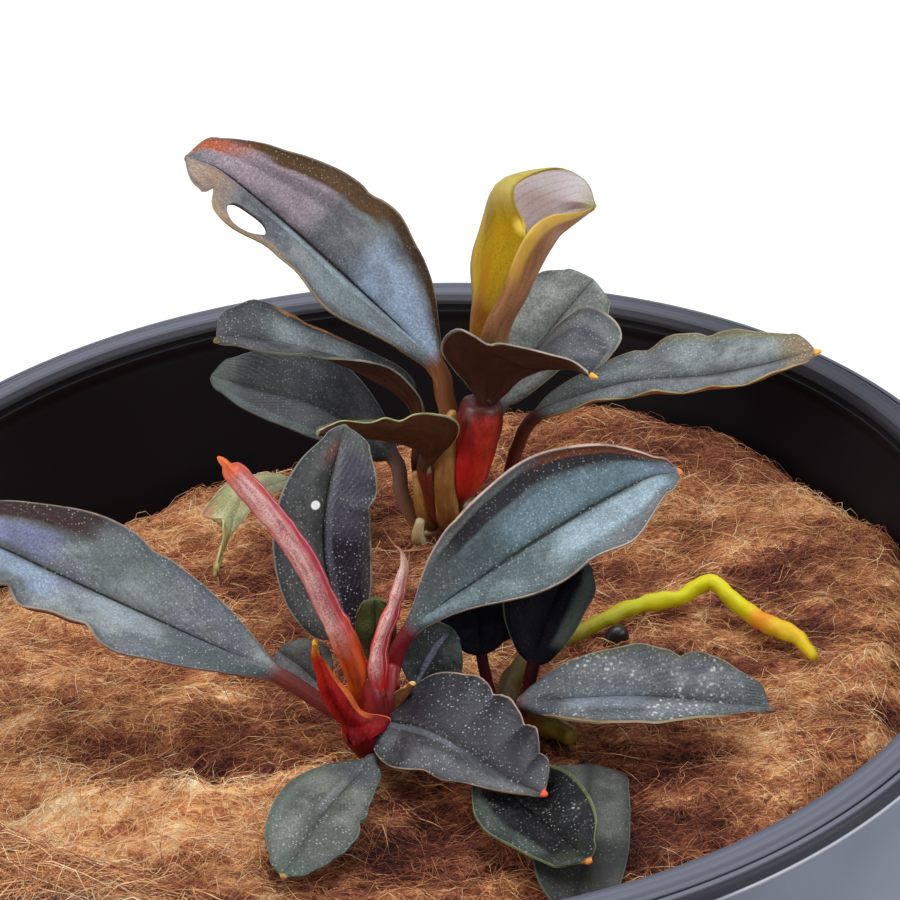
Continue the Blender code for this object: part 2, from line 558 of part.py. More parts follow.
def torn_leaf():
    """An old pale leaf, torn and bent down to the fibre behind the front plant."""
    leaf("torn_leaf",
         [(-3.2, 13.6, -7.6), (-4.4, 14.2, -4.8), (-6.8, 14.5, -2.8), (-9.9, 12.7, -1.7),
          (-12.2, 10.0, -3.2), (-13.6, 6.2, -6.4)], 2,
         (0.8, 1.2, 1.6, 1.0, 0.7, 0.5), (0.9, 1.8, 2.3, 0.9, 0.6, 0.5),
         ((-0.3, -0.3, 0.9), (-0.5, -0.5, 0.7)), level(0), stalk=0.35, colour=PALE_GREEN)


def build():
    clear_scene()
    pot()
    bed = fibre_bed()
    front_plant(bed)
    back_plant(bed)
    side_plant(bed)
    torn_leaf()


build()
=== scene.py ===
"""Bucephalandra in a nursery pot: the looks of three tufts of leaves, their coir bed and the pot.

Sizes are in millimetres, and heights are measured from the top of the pot's rim. Every leaf
and stem follows the same curve as its solid.
"""
import math
import random

import bmesh
import bpy
from mathutils import Matrix, Vector, noise


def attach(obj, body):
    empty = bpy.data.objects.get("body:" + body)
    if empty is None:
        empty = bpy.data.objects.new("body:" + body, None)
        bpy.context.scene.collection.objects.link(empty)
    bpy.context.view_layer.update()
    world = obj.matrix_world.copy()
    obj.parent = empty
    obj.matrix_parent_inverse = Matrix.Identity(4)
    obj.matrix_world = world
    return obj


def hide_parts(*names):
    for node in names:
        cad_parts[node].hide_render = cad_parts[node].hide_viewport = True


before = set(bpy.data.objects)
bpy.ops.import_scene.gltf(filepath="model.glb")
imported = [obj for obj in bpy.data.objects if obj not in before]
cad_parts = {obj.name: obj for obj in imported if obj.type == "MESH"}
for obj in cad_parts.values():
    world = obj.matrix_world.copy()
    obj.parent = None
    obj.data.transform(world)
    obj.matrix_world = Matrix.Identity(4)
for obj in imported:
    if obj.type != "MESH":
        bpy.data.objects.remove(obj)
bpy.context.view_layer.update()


# The pot: a round black nursery pot of moulded polypropylene, 90 mm across. It is turned as one
# closed wall, with a flat band and a fine bead on the rim, a straight collar and a foot ring.
MM = 0.001
RIM_HEIGHT = 72.0


class Wire:
    """A socket in shader maths. An expression on wires and numbers adds its Math nodes."""

    def __init__(self, tree, socket=None):
        self.tree = tree
        self.socket = socket

    def node(self, kind, sockets=None, out=0, stops=None, **settings):
        """Add a node of any kind: its settings first, then the values or links of its sockets."""
        made = self.tree.nodes.new("ShaderNode" + kind)
        for name, value in settings.items():
            setattr(made, name, value)
        if stops:
            ramp = made.color_ramp.elements
            while len(ramp) < len(stops):
                ramp.new(0.5)
            for element, (position, colour) in zip(ramp, stops):
                element.position = position
                element.color = (*colour, 1.0)
        for key, value in (sockets or {}).items():
            if isinstance(value, Wire):
                self.tree.links.new(value.socket, made.inputs[key])
            else:
                made.inputs[key].default_value = value
        return Wire(self.tree, made.outputs[out])

    def math(self, operation, *values):
        return self.node("Math", dict(enumerate(values)), operation=operation)

    def __add__(self, other):
        return self.math("ADD", self, other)

    def __radd__(self, other):
        return self.math("ADD", other, self)

    def __sub__(self, other):
        return self.math("SUBTRACT", self, other)

    def __rsub__(self, other):
        return self.math("SUBTRACT", other, self)

    def __mul__(self, other):
        return self.math("MULTIPLY", self, other)

    def __rmul__(self, other):
        return self.math("MULTIPLY", other, self)

    def __abs__(self):
        return self.math("ABSOLUTE", self)

    def rise(self, low, high):
        """Ease from 0 to 1 as the value goes from low to high."""
        return self.node("MapRange", {"Value": self, "From Min": low, "From Max": high},
                         interpolation_type="SMOOTHSTEP")

    def mix(self, first, second):
        """A colour that goes from the first to the second as the value goes from 0 to 1."""
        ends = {0: self}
        for index, colour in ((6, first), (7, second)):
            ends[index] = colour if isinstance(colour, Wire) else (*colour, 1.0)
        return self.node("Mix", ends, out=2, data_type="RGBA")

    def sibling(self, name):
        """Another output of the node that this wire comes from."""
        return Wire(self.tree, self.socket.node.outputs[name])


def new_material(name, roughness=0.5, specular=0.5, coat=0.0, coat_roughness=0.1):
    """A material and a first wire into its node tree."""
    material = bpy.data.materials.new(name)
    material.use_nodes = True
    shader = material.node_tree.nodes["Principled BSDF"]
    shader.inputs["Roughness"].default_value = roughness
    shader.inputs["Specular IOR Level"].default_value = specular
    shader.inputs["Coat Weight"].default_value = coat
    shader.inputs["Coat Roughness"].default_value = coat_roughness
    return material, Wire(material.node_tree)


def paint(material, colour=None, roughness=None, height=None, strength=0.5, distance=0.05):
    """Link what changes over the surface: colour, roughness, and a height in millimetres."""
    tree = material.node_tree
    shader = tree.nodes["Principled BSDF"]
    if colour is not None:
        tree.links.new(colour.socket, shader.inputs["Base Color"])
    if roughness is not None:
        tree.links.new(roughness.socket, shader.inputs["Roughness"])
    if height is not None:
        bump = height.node("Bump",
                           {"Height": height, "Strength": strength, "Distance": distance * MM},
                           out="Normal")
        tree.links.new(bump.socket, shader.inputs["Normal"])


def black_plastic():
    """Moulded black plastic: satin, with faint turning marks and dust, and painted light and shade.
    """
    material, start = new_material("black_plastic", roughness=0.3, specular=0.22)
    place = start.node("TexCoord", out="Object")
    x = place.node("SeparateXYZ", {0: place}, out="X")
    y, z = x.sibling("Y"), x.sibling("Z")
    square = x * x + y * y
    radius = square.math("SQRT", square)
    outside = radius.rise(43.6 * MM, 44.6 * MM)
    rim_top = z.rise(71.1 * MM, 71.4 * MM) * radius.rise(41.7 * MM, 41.9 * MM)
    groove = 1.0 - abs(radius - 43.95 * MM).rise(0.04 * MM, 0.12 * MM)
    groove = groove * z.rise(71.2 * MM, 71.4 * MM)
    near = 1.0 - y.rise(-18.0 * MM, 5.0 * MM)
    lip = radius.rise(44.25 * MM, 44.5 * MM) * z.rise(71.05 * MM, 71.15 * MM) * near
    far_right = x.rise(5.0 * MM, 40.0 * MM) * y.rise(-30.0 * MM, 0.0)
    turning = start.node("TexNoise", {"Vector": place.node("CombineXYZ", {0: radius, 1: z, 2: 0.0}),
                                      "Scale": 2600.0, "Detail": 2.0})
    cloud = start.node("TexNoise", {"Vector": place, "Scale": 70.0, "Detail": 4.0})
    dust = start.node("TexVoronoi", {"Vector": place, "Scale": 420.0}, out="Distance")
    chosen = dust.sibling("Color").node("SeparateColor", {0: dust.sibling("Color")}, out="Red")
    mote = (1.0 - dust.rise(0.03, 0.09)) * chosen.rise(0.82, 0.90) * radius.rise(43.3 * MM, 43.8 * MM)
    inside = 1.0 - radius.rise(41.7 * MM, 42.0 * MM)
    # Painted reflection and shade: the outside is painted a lighter bluish grey with paler patches,
    # as a reflection of the room, and the inside nearly black, as shade.
    colour = outside.mix((0.020, 0.020, 0.027), (0.105, 0.118, 0.155))
    colour = inside.mix(colour, (0.0015, 0.001, 0.003))
    colour = (cloud.rise(0.35, 0.75) * outside * 0.5).mix(colour, (0.19, 0.21, 0.26))
    # Painted highlight on the rim's flat band, broken by the turning marks and fainter at the far
    # right.
    rim_highlight = rim_top * (0.55 + turning.rise(0.35, 0.65) * 0.45) * (1.0 - far_right * 0.7)
    colour = rim_highlight.mix(colour, (0.125, 0.13, 0.165))
    # Painted shade in the rim's groove, and along the lip at the front.
    colour = groove.mix(colour, (0.012, 0.012, 0.018))
    colour = lip.mix(colour, (0.022, 0.022, 0.032))
    edge_line = 1.0 - abs(radius - 44.9 * MM).rise(0.04 * MM, 0.10 * MM)
    edge_line = edge_line * z.rise(70.9 * MM, 70.95 * MM)
    colour = (edge_line * cloud.rise(0.42, 0.55) * 0.6).mix(colour, (0.6, 0.6, 0.62))
    colour = mote.mix(colour, (0.7, 0.7, 0.7))
    paint(material, colour, roughness=0.34 + cloud * 0.16 + inside * 0.2, height=turning,
          strength=0.12, distance=0.02)
    return material


def fit(piece, material, node):
    """Dress a CAD node: the piece stands for it in its body, with the given material, and the node is
    hidden.
    """
    piece.data.materials.clear()
    piece.data.materials.append(material)
    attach(piece, "root")
    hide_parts(node)


def face_outwards(bm):
    """Turn all faces of a closed skin outwards."""
    bmesh.ops.recalc_face_normals(bm, faces=bm.faces)
    if bm.calc_volume(signed=True) < 0:
        bmesh.ops.reverse_faces(bm, faces=bm.faces)


def add_piece(name, bm, sharp=50):
    """Make a smooth piece from a bmesh. Edges over the sharp angle stay crisp."""
    mesh = bpy.data.meshes.new(name)
    bm.to_mesh(mesh)
    bm.free()
    mesh.shade_smooth()
    mesh.set_sharp_from_angle(angle=math.radians(sharp))
    piece = bpy.data.objects.new(name, mesh)
    bpy.context.collection.objects.link(piece)
    return piece


def nursery_pot():
    """Spin the outline of the wall: radius and height from the pot's base."""
    outline = [
        (0.0, 1.0), (29.3, 1.0), (29.5, 0.8), (29.5, 0.15), (29.7, 0.0), (31.8, 0.0), (32.1, 0.15),
        (33.0, 1.0), (33.5, 2.2), (43.1, 57.0), (43.3, 57.4), (44.6, 57.6), (44.9, 57.8),
        (45.0, 58.1), (45.0, 70.9), (44.97, 71.05), (44.82, 71.1), (44.78, 71.2), (44.74, 71.45),
        (44.6, 71.72), (44.4, 71.88), (44.15, 71.93), (44.02, 71.88), (43.95, 71.72), (43.88, 71.9),
        (43.75, 72.0), (42.05, 72.0), (41.92, 71.95), (41.88, 71.8), (41.88, 71.5), (41.8, 71.35),
        (41.6, 71.3), (41.5, 71.2), (41.5, 70.8), (41.42, 70.65), (41.3, 70.6), (41.26, 70.3),
        (41.3, 70.0), (41.34, 69.6), (41.28, 69.4), (41.2, 69.0), (31.7, 4.2), (31.2, 3.0),
        (30.2, 2.6), (0.0, 2.6),
    ]
    bm = bmesh.new()
    verts = [bm.verts.new(Vector((radius, 0.0, height)) * MM) for radius, height in outline]
    edges = [bm.edges.new(pair) for pair in zip(verts, verts[1:])]
    bmesh.ops.spin(bm, geom=verts + edges, cent=(0, 0, 0), axis=(0, 0, 1), angle=2 * math.pi,
                   steps=192, use_merge=True, use_duplicate=False)
    bmesh.ops.remove_doubles(bm, verts=bm.verts, dist=0.000005)
    face_outwards(bm)
    return add_piece("nursery_pot", bm, sharp=35)


fit(nursery_pot(), black_plastic(), "pot")


# The coir bed: a wad of brown coconut fibre that nearly fills the pot. A lumpy closed plug carries
# nearly fifty thousand short loose fibres, each a thin three-sided tube along the wad's flow.
BED_LEVEL = -7.9
PLUG_SIDES = 256
PLUG_RINGS = 60


def ease(x):
    """A soft step from 0 to 1 as x goes from 0 to 1."""
    x = min(max(x, 0.0), 1.0)
    return x * x * (3 - 2 * x)


def lumps(x, y, size, seed):
    """Soft hills and hollows of about a given size, from -1 to 1."""
    return noise.noise(Vector((x / size, y / size, seed)))


def fold_line(x, y):
    """The pale fold at the front left, where the wad is doubled over: 1 on its crest, 0 away."""
    crest = (-16.6 - 1.5 * ease((-18.8 - x) / 5.0) - 1.4 * ease((x + 16.2) / 3.0)
             - 0.3 * math.sin(0.9 * x))
    return math.exp(-((y - crest) / 0.85) ** 2) * ease((-12.5 - x) / 2.0) * ease((x + 26.0) / 3.0)


def tufting(x, y):
    """The lumps of the wad: long soft tufts across the pot, with pits between them."""
    return (0.8 * lumps(x * 0.6, y * 1.5, 6.0, 3.1) + 0.65 * lumps(x * 0.7, y * 1.8, 3.0, 8.4)
            + 0.3 * lumps(x * 0.8, y * 1.4, 1.3, 14.2))


def bed_height(x, y):
    """Height of the fibre's surface from the rim."""
    low_back = 2.6 * ease((y - 0.75 * x - 14.0) / 26.0)
    low_front = 0.9 * ease((-y - 14.0) / 12.0)
    high_right = 0.9 * ease((0.87 * x + 0.5 * y - 12.0) / 18.0)
    swell = 0.35 * math.sin(0.16 * x + 0.5) * math.cos(0.13 * y) + 0.2 * math.sin(0.31 * y - 0.21 * x)
    level = BED_LEVEL - low_back - low_front + high_right + swell
    return level + 0.9 * tufting(x, y) + 1.3 * fold_line(x, y)


def bed_rim(turn):
    """Radius of the wad's rolled edge at an angle round the pot."""
    degrees = math.degrees(turn)
    wide = (1.4 * ease(math.cos(turn - math.radians(35)))
            + 1.6 * ease(1.0 - abs(degrees % 360 - 12) / 16))
    narrow = 3.6 * ease(2.2 * math.cos(turn - math.radians(120)) - 1.2) * ease((159 - degrees) / 12)
    ragged = 0.8 * noise.noise(Vector((5 * math.cos(turn), 5 * math.sin(turn), 1.7)))
    steps = 0.7 * noise.noise(Vector((14 * math.cos(turn), 14 * math.sin(turn), 4.4)))
    return 36.4 + wide - narrow + ragged + steps


def bed_drop(radius, turn):
    """How far the surface has rolled down near the edge."""
    over = radius - bed_rim(turn) + 2.5
    return 0.0 if over <= 0 else 0.18 * over ** 2


def wall_inside(height):
    """Inside radius of the pot at a height from its base."""
    return 31.5 + 10.0 * min((height - 2.6) / 68.0, 1.0)


def in_pot(point):
    """A point measured from the rim, as a place in metres."""
    return Vector((point[0], point[1], point[2] + RIM_HEIGHT)) * MM


def loft(bm, rings, marks=None):
    """Grow a closed skin through rings of points and fill its ends.

    Marks give each point its (across, along, under) values, which the skin's material reads.
    """
    layers = [bm.verts.layers.float.new(name) for name in ("across", "along",
                                                           "under")] if marks else []
    loop = bmesh.ops.create_circle(bm, segments=len(rings[0]), radius=1.0)["verts"]
    for number, ring in enumerate(rings):
        if number:
            edges = [bm.edges.get(pair) for pair in zip(loop, loop[1:] + loop[:1])]
            grown = set(bmesh.ops.extrude_edge_only(bm, edges=edges)["geom"])
            loop = [next(edge.other_vert(vert) for edge in vert.link_edges
                         if edge.other_vert(vert) in grown) for vert in loop]
        for index, (vert, point) in enumerate(zip(loop, ring)):
            vert.co = point
            if marks:
                for layer, value in zip(layers, marks[number][index]):
                    vert[layer] = value
    bmesh.ops.holes_fill(bm, edges=bm.edges, sides=0)
    face_outwards(bm)


# Tufts of tone in the wad. Their amounts are partly the fibre's own colour and partly painted light
# and shade: the front left is painted lighter, where the light falls.
TUFTS = (
    (-30.0, 8.0, 5.0, 4.0, 0.38), (-25.0, 5.0, 6.0, 1.8, 0.24), (-31.0, -3.5, 3.0, 6.0, 0.22),
    (-24.0, -0.5, 6.0, 3.5, 0.22), (-17.0, -5.0, 6.0, 3.0, 0.20), (-27.0, -9.0, 4.0, 4.0, 0.22),
    (-15.0, 4.0, 4.0, 2.0, 0.12), (-31.0, -17.0, 6.0, 6.0, 0.30), (-18.0, -20.5, 9.5, 3.0, 0.46),
    (-23.0, -22.0, 6.0, 3.0, 0.34), (-11.0, -20.5, 4.5, 1.8, 0.25), (-27.0, -27.0, 6.0, 3.5, 0.42),
    (-22.0, 24.0, 4.5, 3.0, 0.22), (34.1, 14.5, 3.2, 2.2, 0.40), (24.5, 14.7, 4.5, 1.8, 0.28),
    (20.0, 11.0, 5.0, 2.5, 0.08), (31.0, 11.5, 4.0, 3.0, 0.10), (35.0, 3.5, 3.0, 3.0, 0.20),
    (24.5, -2.0, 3.0, 2.0, 0.10), (30.1, -11.3, 3.2, 3.2, 0.28), (24.5, -17.0, 2.8, 3.6, 0.42),
    (-17.0, -10.5, 10.0, 3.2, -0.12), (-9.0, -15.0, 3.5, 2.4, -0.26), (-15.0, -27.8, 9.0, 1.7, -0.15),
    (2.6, -25.0, 8.0, 3.5, -0.25), (29.3, 5.0, 2.5, 1.2, -0.30), (23.8, -5.6, 4.0, 2.0, -0.14),
    (19.5, -18.0, 3.5, 3.0, -0.28), (17.5, -25.0, 4.0, 3.5, -0.34), (6.0, -19.0, 5.0, 5.0, -0.18),
    (19.0, 27.0, 10.0, 4.0, -0.20), (0.0, 21.0, 6.0, 4.0, -0.13), (-11.0, 10.0, 3.0, 3.0, -0.10),
    (2.0, 6.0, 9.0, 4.0, -0.10), (32.5, -5.0, 3.0, 2.5, -0.08), (-26.3, -9.0, 2.2, 4.4, 0.1),
    (-25.1, -20.6, 2.4, 4.4, 0.08), (-15.1, -22.4, 6.9, 3.3, 0.13), (-16.5, -27.2, 8.1, 2.0, 0.09),
    (-20.3, 19.4, 2.9, 3.0, 0.12), (-17.3, -6.3, 3.3, 3.0, 0.04), (-11.2, 9.3, 2.0, 3.0, -0.06),
    (-0.3, 21.0, 2.0, 3.7, -0.06), (20.3, 29.8, 4.1, 2.0, -0.06), (28.0, 23.3, 2.4, 3.0, -0.05),
    (35.5, 3.9, 2.4, 3.0, 0.1), (24.8, -1.8, 2.4, 2.0, 0.08), (32.8, -5.3, 3.7, 7.4, -0.06),
    (19.9, -18.5, 4.1, 4.4, -0.07), (17.8, -25.4, 2.4, 2.2, -0.09), (2.3, -24.9, 2.9, 6.7, -0.06),
    (15.4, -15.7, 2.0, 2.0, 0.05))


def coir_tone(x, y):
    """Tone of the coir, dark red-brown at 0 and straw at 1: each tuft adds its own amount."""
    own = sum(amount * math.exp(-((x - east) / wide) ** 2 - ((y - north) / deep) ** 2)
              for east, north, wide, deep, amount in TUFTS)
    # Painted light and shade: the tops of the lumps are painted lighter and their pits darker, and
    # the fold's crest gets a painted highlight.
    return min(0.50 + own + 0.42 * tufting(x, y), 0.78) + 0.45 * fold_line(x, y)


def coir_plug():
    """The closed plug under the loose fibres."""
    turns = [2 * math.pi * k / PLUG_SIDES for k in range(PLUG_SIDES)]
    rings = []
    for height in (3.2, 20.0, 36.0, 52.0, 56.0):
        radius = wall_inside(height) - 0.4
        rings.append([Vector((radius * math.cos(t), radius * math.sin(t),
                              height)) * MM for t in turns])
    for outside in (2.9, 2.4, 1.9, 1.4, 0.9, 0.4, -0.2, -0.9, -1.7, -2.6):
        ring = []
        for turn in turns:
            radius = bed_rim(turn) + outside
            x, y = radius * math.cos(turn), radius * math.sin(turn)
            height = bed_height(x, y) - bed_drop(radius, turn) - 0.25
            radius = min(radius, wall_inside(RIM_HEIGHT + height) - 0.4)
            ring.append(in_pot((radius * math.cos(turn), radius * math.sin(turn), height)))
        rings.append(ring)
    for step in range(1, PLUG_RINGS):
        ring = []
        for turn in turns:
            radius = (bed_rim(turn) - 2.6) * (1 - step / PLUG_RINGS)
            x, y = radius * math.cos(turn), radius * math.sin(turn)
            ring.append(in_pot((x, y, bed_height(x, y) - 0.25)))
        rings.append(ring)
    bm = bmesh.new()
    loft(bm, rings)
    tones = bm.verts.layers.float.new("tone")
    for vert in bm.verts:
        vert[tones] = coir_tone(vert.co.x / MM, vert.co.y / MM)
    return add_piece("coir_plug", bm, sharp=80)


def coir(name, loose):
    """Coir: red-brown to straw. Loose fibres take their tone from their own attribute."""
    material, start = new_material(name, roughness=0.75, specular=0.2)
    place = start.node("TexCoord", out="Object")
    swirl = start.node("TexNoise", {"Vector": place, "Scale": 240.0, "Detail": 3.0}, out="Color")
    bent = place.node("VectorMath", {0: swirl, 1: (0.004, 0.004, 0.004)}, operation="MULTIPLY")
    bent = place.node("VectorMath", {0: place, 1: bent}, operation="ADD")
    streak = start.node("Mapping", {"Vector": bent, "Scale": (0.16, 1.0, 0.6)})
    strands = start.node("TexNoise",
                         {"Vector": streak, "Scale": 5200.0, "Detail": 3.0, "Roughness": 0.75})
    tuft_place = place.node("Mapping", {"Vector": bent, "Scale": (0.6, 1.0, 1.0)})
    tufts = start.node("TexNoise",
                       {"Vector": tuft_place, "Scale": 480.0, "Detail": 5.0, "Roughness": 0.72})
    own = start.node("Attribute", out="Fac", attribute_name="tone")
    if loose:
        tone = own + (tufts - 0.5) * 1.1 - 0.03
    else:
        # The packed plug's tone follows its own bump: partly the fibre's own variation, partly
        # painted light on raised tufts and painted shade in the hollows.
        tone = own + strands.rise(0.34, 0.70) * 0.45 - 0.32 + (tufts - 0.5) * 1.4
    ramp = start.node("ValToRGB", {0: tone}, stops=(
        (0.0, (0.030, 0.007, 0.007)), (0.25, (0.17, 0.044, 0.027)), (0.5, (0.46, 0.163, 0.076)),
        (0.75, (0.92, 0.52, 0.21)), (1.0, (1.0, 0.88, 0.60))))
    if loose:
        paint(material, ramp)
    else:
        paint(material, ramp, height=strands * 0.6 + tufts * 2.0, strength=0.7, distance=0.14)
    return material


fit(coir_plug(), coir("coir_packed", False), "fibre_bed")


def flow(x, y):
    """The direction that the fibres lie in: mostly across the pot, in waves and a few swirls."""
    waves = 0.9 * lumps(x * 0.7, y * 1.3, 12.0, 5.2)
    return 0.05 + waves + 0.9 * lumps(x * 0.8, y * 1.2, 4.0, 2.6) + 0.0005 * x * y


FIBRE_STEPS = 3
WAD_RADIUS = 40.6


def loose_fibres(name, count, seed, lift, length, over_rim):
    """One batch of loose fibres, as curves that geometry nodes give a three-sided section.

    Fibres over the rim climb the wall at the front left and end just past the pot's edge.
    """
    picked = random.Random(seed)
    points, edges, tones, radii = [], [], [], []
    while len(edges) < count * FIBRE_STEPS:
        turn, reach = picked.uniform(0, 2 * math.pi), WAD_RADIUS * math.sqrt(picked.random())
        if over_rim:
            turn, reach = math.radians(picked.gauss(231, 8)), 34.0 + 9.8 * math.sqrt(picked.random())
        x, y = reach * math.cos(turn), reach * math.sin(turn)
        if reach > bed_rim(turn) + 1.6 and not over_rim:
            continue
        heading = flow(x, y) + picked.gauss(0, 0.50) + (math.pi if picked.random() < 0.5 else 0)
        bend = picked.gauss(0, 0.32)
        step = picked.uniform(*length) / FIBRE_STEPS
        arch = picked.uniform(0.0, 1.0) ** 2.0 * lift
        depth = picked.uniform(-0.35, 0.2)
        # Painted shade and light: fibres lower in the wad are painted darker, and those over the rim
        # at the front left lighter.
        tone = coir_tone(x, y) + picked.gauss(0, 0.15) + (0.12 if over_rim else 0.2 * depth)
        thick = picked.uniform(0.012, 0.026)
        low = picked.uniform(-2.2, 0.5)
        first = len(points)
        for k in range(FIBRE_STEPS + 1):
            angle, radius = math.atan2(y, x), math.hypot(x, y)
            bow = math.sin(math.pi * k / FIBRE_STEPS)
            if over_rim:
                climb = ease((radius - 34.0) / 7.5)
                height = bed_height(x, y) * (1.0 - climb) + low + 0.5 * bow + 1.3 * climb
                limit = 60.0 if height > 0.15 else wall_inside(RIM_HEIGHT + height) - 0.2
            else:
                height = bed_height(x, y) - bed_drop(radius, angle) + depth + arch * bow
                height += 0.10 * math.sin(k * 2.4 + seed + first)
                limit = wall_inside(RIM_HEIGHT + height) - 0.5
            shrink = min(1.0, limit / radius) if radius else 1.0
            points.append(in_pot((x * shrink, y * shrink, height)))
            tones.append(min(max(tone + 0.06 * math.sin(2 * k + first), 0.0), 1.0))
            radii.append(thick * MM * (0.4 if k in (0, FIBRE_STEPS) else 1.0))
            if k:
                edges.append((len(points) - 2, len(points) - 1))
            heading += bend + picked.gauss(0, 0.42)
            x += step * math.cos(heading)
            y += step * math.sin(heading)
    mesh = bpy.data.meshes.new(name)
    mesh.from_pydata(points, edges, [])
    mesh.attributes.new("tone", "FLOAT", "POINT").data.foreach_set("value", tones)
    mesh.attributes.new("thick", "FLOAT", "POINT").data.foreach_set("value", radii)
    piece = bpy.data.objects.new(name, mesh)
    bpy.context.collection.objects.link(piece)
    modifier = piece.modifiers.new("fibre_section", "NODES")
    modifier.node_group = fibre_section()
    shaped = piece.evaluated_get(bpy.context.evaluated_depsgraph_get())
    solid = bpy.data.meshes.new_from_object(shaped)
    piece.modifiers.clear()
    piece.data = solid
    solid.name = name
    solid.shade_smooth()
    return piece


def fibre_section():
    """Geometry nodes that turn edges into thin tubes with the radius of their points."""
    group = bpy.data.node_groups.get("fibre_section")
    if group:
        return group
    group = bpy.data.node_groups.new("fibre_section", "GeometryNodeTree")
    group.interface.new_socket("Geometry", in_out="INPUT", socket_type="NodeSocketGeometry")
    group.interface.new_socket("Geometry", in_out="OUTPUT", socket_type="NodeSocketGeometry")
    kinds = {"start": "NodeGroupInput", "curve": "GeometryNodeMeshToCurve",
             "thick": "GeometryNodeInputNamedAttribute", "swell": "GeometryNodeSetCurveRadius",
             "ring": "GeometryNodeCurvePrimitiveCircle", "skin": "GeometryNodeCurveToMesh",
             "end": "NodeGroupOutput"}
    made = {name: group.nodes.new(kind) for name, kind in kinds.items()}
    made["thick"].data_type = "FLOAT"
    made["thick"].inputs["Name"].default_value = "thick"
    made["ring"].inputs["Resolution"].default_value = 3
    made["ring"].inputs["Radius"].default_value = 1.0
    made["skin"].inputs["Fill Caps"].default_value = True
    for source, output, target, socket in (
            ("start", 0, "curve", "Mesh"), ("curve", 0, "swell", "Curve"),
            ("thick", 0, "swell", "Radius"), ("swell", 0, "skin", "Curve"),
            ("ring", 0, "skin", "Profile Curve"), ("skin", 0, "end", 0)):
        group.links.new(made[source].outputs[output], made[target].inputs[socket])
    if "Scale" in made["skin"].inputs:
        group.links.new(made["thick"].outputs[0], made["skin"].inputs["Scale"])
    return group


coir_loose = coir("coir_loose", True)
for number, (amount, arch_height, fibre_length, over_rim) in enumerate((
        (8800, 0.3, (2.5, 6.0), False), (8800, 0.6, (2.0, 5.0), False),
        (8800, 0.8, (1.5, 4.5), False), (8800, 1.0, (1.5, 3.5), False),
        (8800, 0.5, (1.2, 3.0), False), (4900, 0.5, (3.0, 7.0), True))):
    batch = loose_fibres(f"coir_fibres_{number + 1}", int(amount * (1.0)),
                         number + 11, arch_height, fibre_length, over_rim)
    batch.data.materials.clear()
    batch.data.materials.append(coir_loose)
    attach(batch, "root")


# The front tuft's stem: a short fleshy creeping stem, dull maroon, with a glossy crown. A stem is
# a rod of rings along a curve, and its skin reads how far along the rod it is.
def smooth_curve(points, shares):
    """Points at shares of the length of a smooth curve through the given points."""
    knots = [Vector(p) for p in points]
    knots = [2 * knots[0] - knots[1], *knots, 2 * knots[-1] - knots[-2]]
    fine = []
    for a, b, c, d in zip(knots, knots[1:], knots[2:], knots[3:]):
        for step in range(24):
            t = step / 24
            pull = ((c - a) * t + (2 * a - 5 * b + 4 * c - d) * t ** 2
                    + (3 * b - a - 3 * c + d) * t ** 3)
            fine.append(b + 0.5 * pull)
    fine.append(knots[-2])
    run = [0.0]
    for a, b in zip(fine, fine[1:]):
        run.append(run[-1] + (b - a).length)
    found = []
    for share in shares:
        at = min(max(share, 0.0), 1.0) * run[-1]
        i = max(min(sum(1 for length in run if length < at), len(run) - 1), 1)
        found.append(fine[i - 1].lerp(fine[i], (at - run[i - 1]) / (run[i] - run[i - 1])))
    return found


def curve_length(points):
    """Length of the smooth curve through the given points."""
    fine = smooth_curve(points, [i / 60 for i in range(61)])
    return sum((b - a).length for a, b in zip(fine, fine[1:]))


def along_list(values, t):
    """A value at t from a list spread evenly over 0 to 1, eased between its entries."""
    at = min(max(t, 0.0), 1.0) * (len(values) - 1)
    i = min(int(at), len(values) - 2)
    part = at - i
    before, after = values[max(i - 1, 0)], values[min(i + 2, len(values) - 1)]
    a, b = values[i], values[i + 1]
    if isinstance(a, Vector):
        return a + (b - a) * part
    bend = (b - before) * part + (2 * before - 5 * a + 4 * b - after) * part ** 2
    return a + 0.5 * (bend + (3 * a - before - 3 * b + after) * part ** 3)


def stem(name, points, radii, count=40, sides=28, seam=0.0, twist=0.0, rough=0.03):
    """A round fleshy rod. A seam gives the section the step of a leaf that is still rolled up."""
    shares = [i / (count - 1) for i in range(count)]
    centres = smooth_curve(points, shares)
    side = Vector((0.0, 0.0, 1.0))
    rings, marks = [], []
    for i, centre in enumerate(centres):
        ahead = (centres[min(i + 1, count - 1)] - centres[max(i - 1, 0)]).normalized()
        if i == 0 and abs(ahead.dot(side)) > 0.95:
            side = Vector((1.0, 0.0, 0.0))
        side = (side - ahead * ahead.dot(side)).normalized()
        other = ahead.cross(side)
        radius = max(along_list(radii, shares[i]), 0.05)
        ends = min(shares[i], 1 - shares[i]) * (count - 1) / 2
        if ends < 1:
            radius *= 0.55 + 0.45 * math.sqrt(1 - (1 - ends) ** 2)
        ring, mark = [], []
        for k in range(sides):
            turn = 2 * math.pi * k / sides
            round_share = (k / sides + twist * shares[i]) % 1.0
            swell = 1 + seam * (0.5 - round_share)
            out = side * math.cos(turn) + other * math.sin(turn)
            swell += rough / max(radius, 0.2) * noise.noise((centre + out * radius) * 0.9)
            ring.append(in_pot(centre + out * radius * swell))
            mark.append((round_share * 2 - 1, shares[i], 0.0))
        rings.append(ring)
        marks.append(mark)
    bm = bmesh.new()
    loft(bm, rings, marks)
    return add_piece(name, bm, sharp=60)


def tint(red, green, blue):
    """A colour as it shows on the screen, from 0 to 255, as the shader's own numbers."""
    return tuple(((v / 255 + 0.055) / 1.055) ** 2.4 if v > 10 else v / 3295 for v in (red,
                                                                                      green, blue))


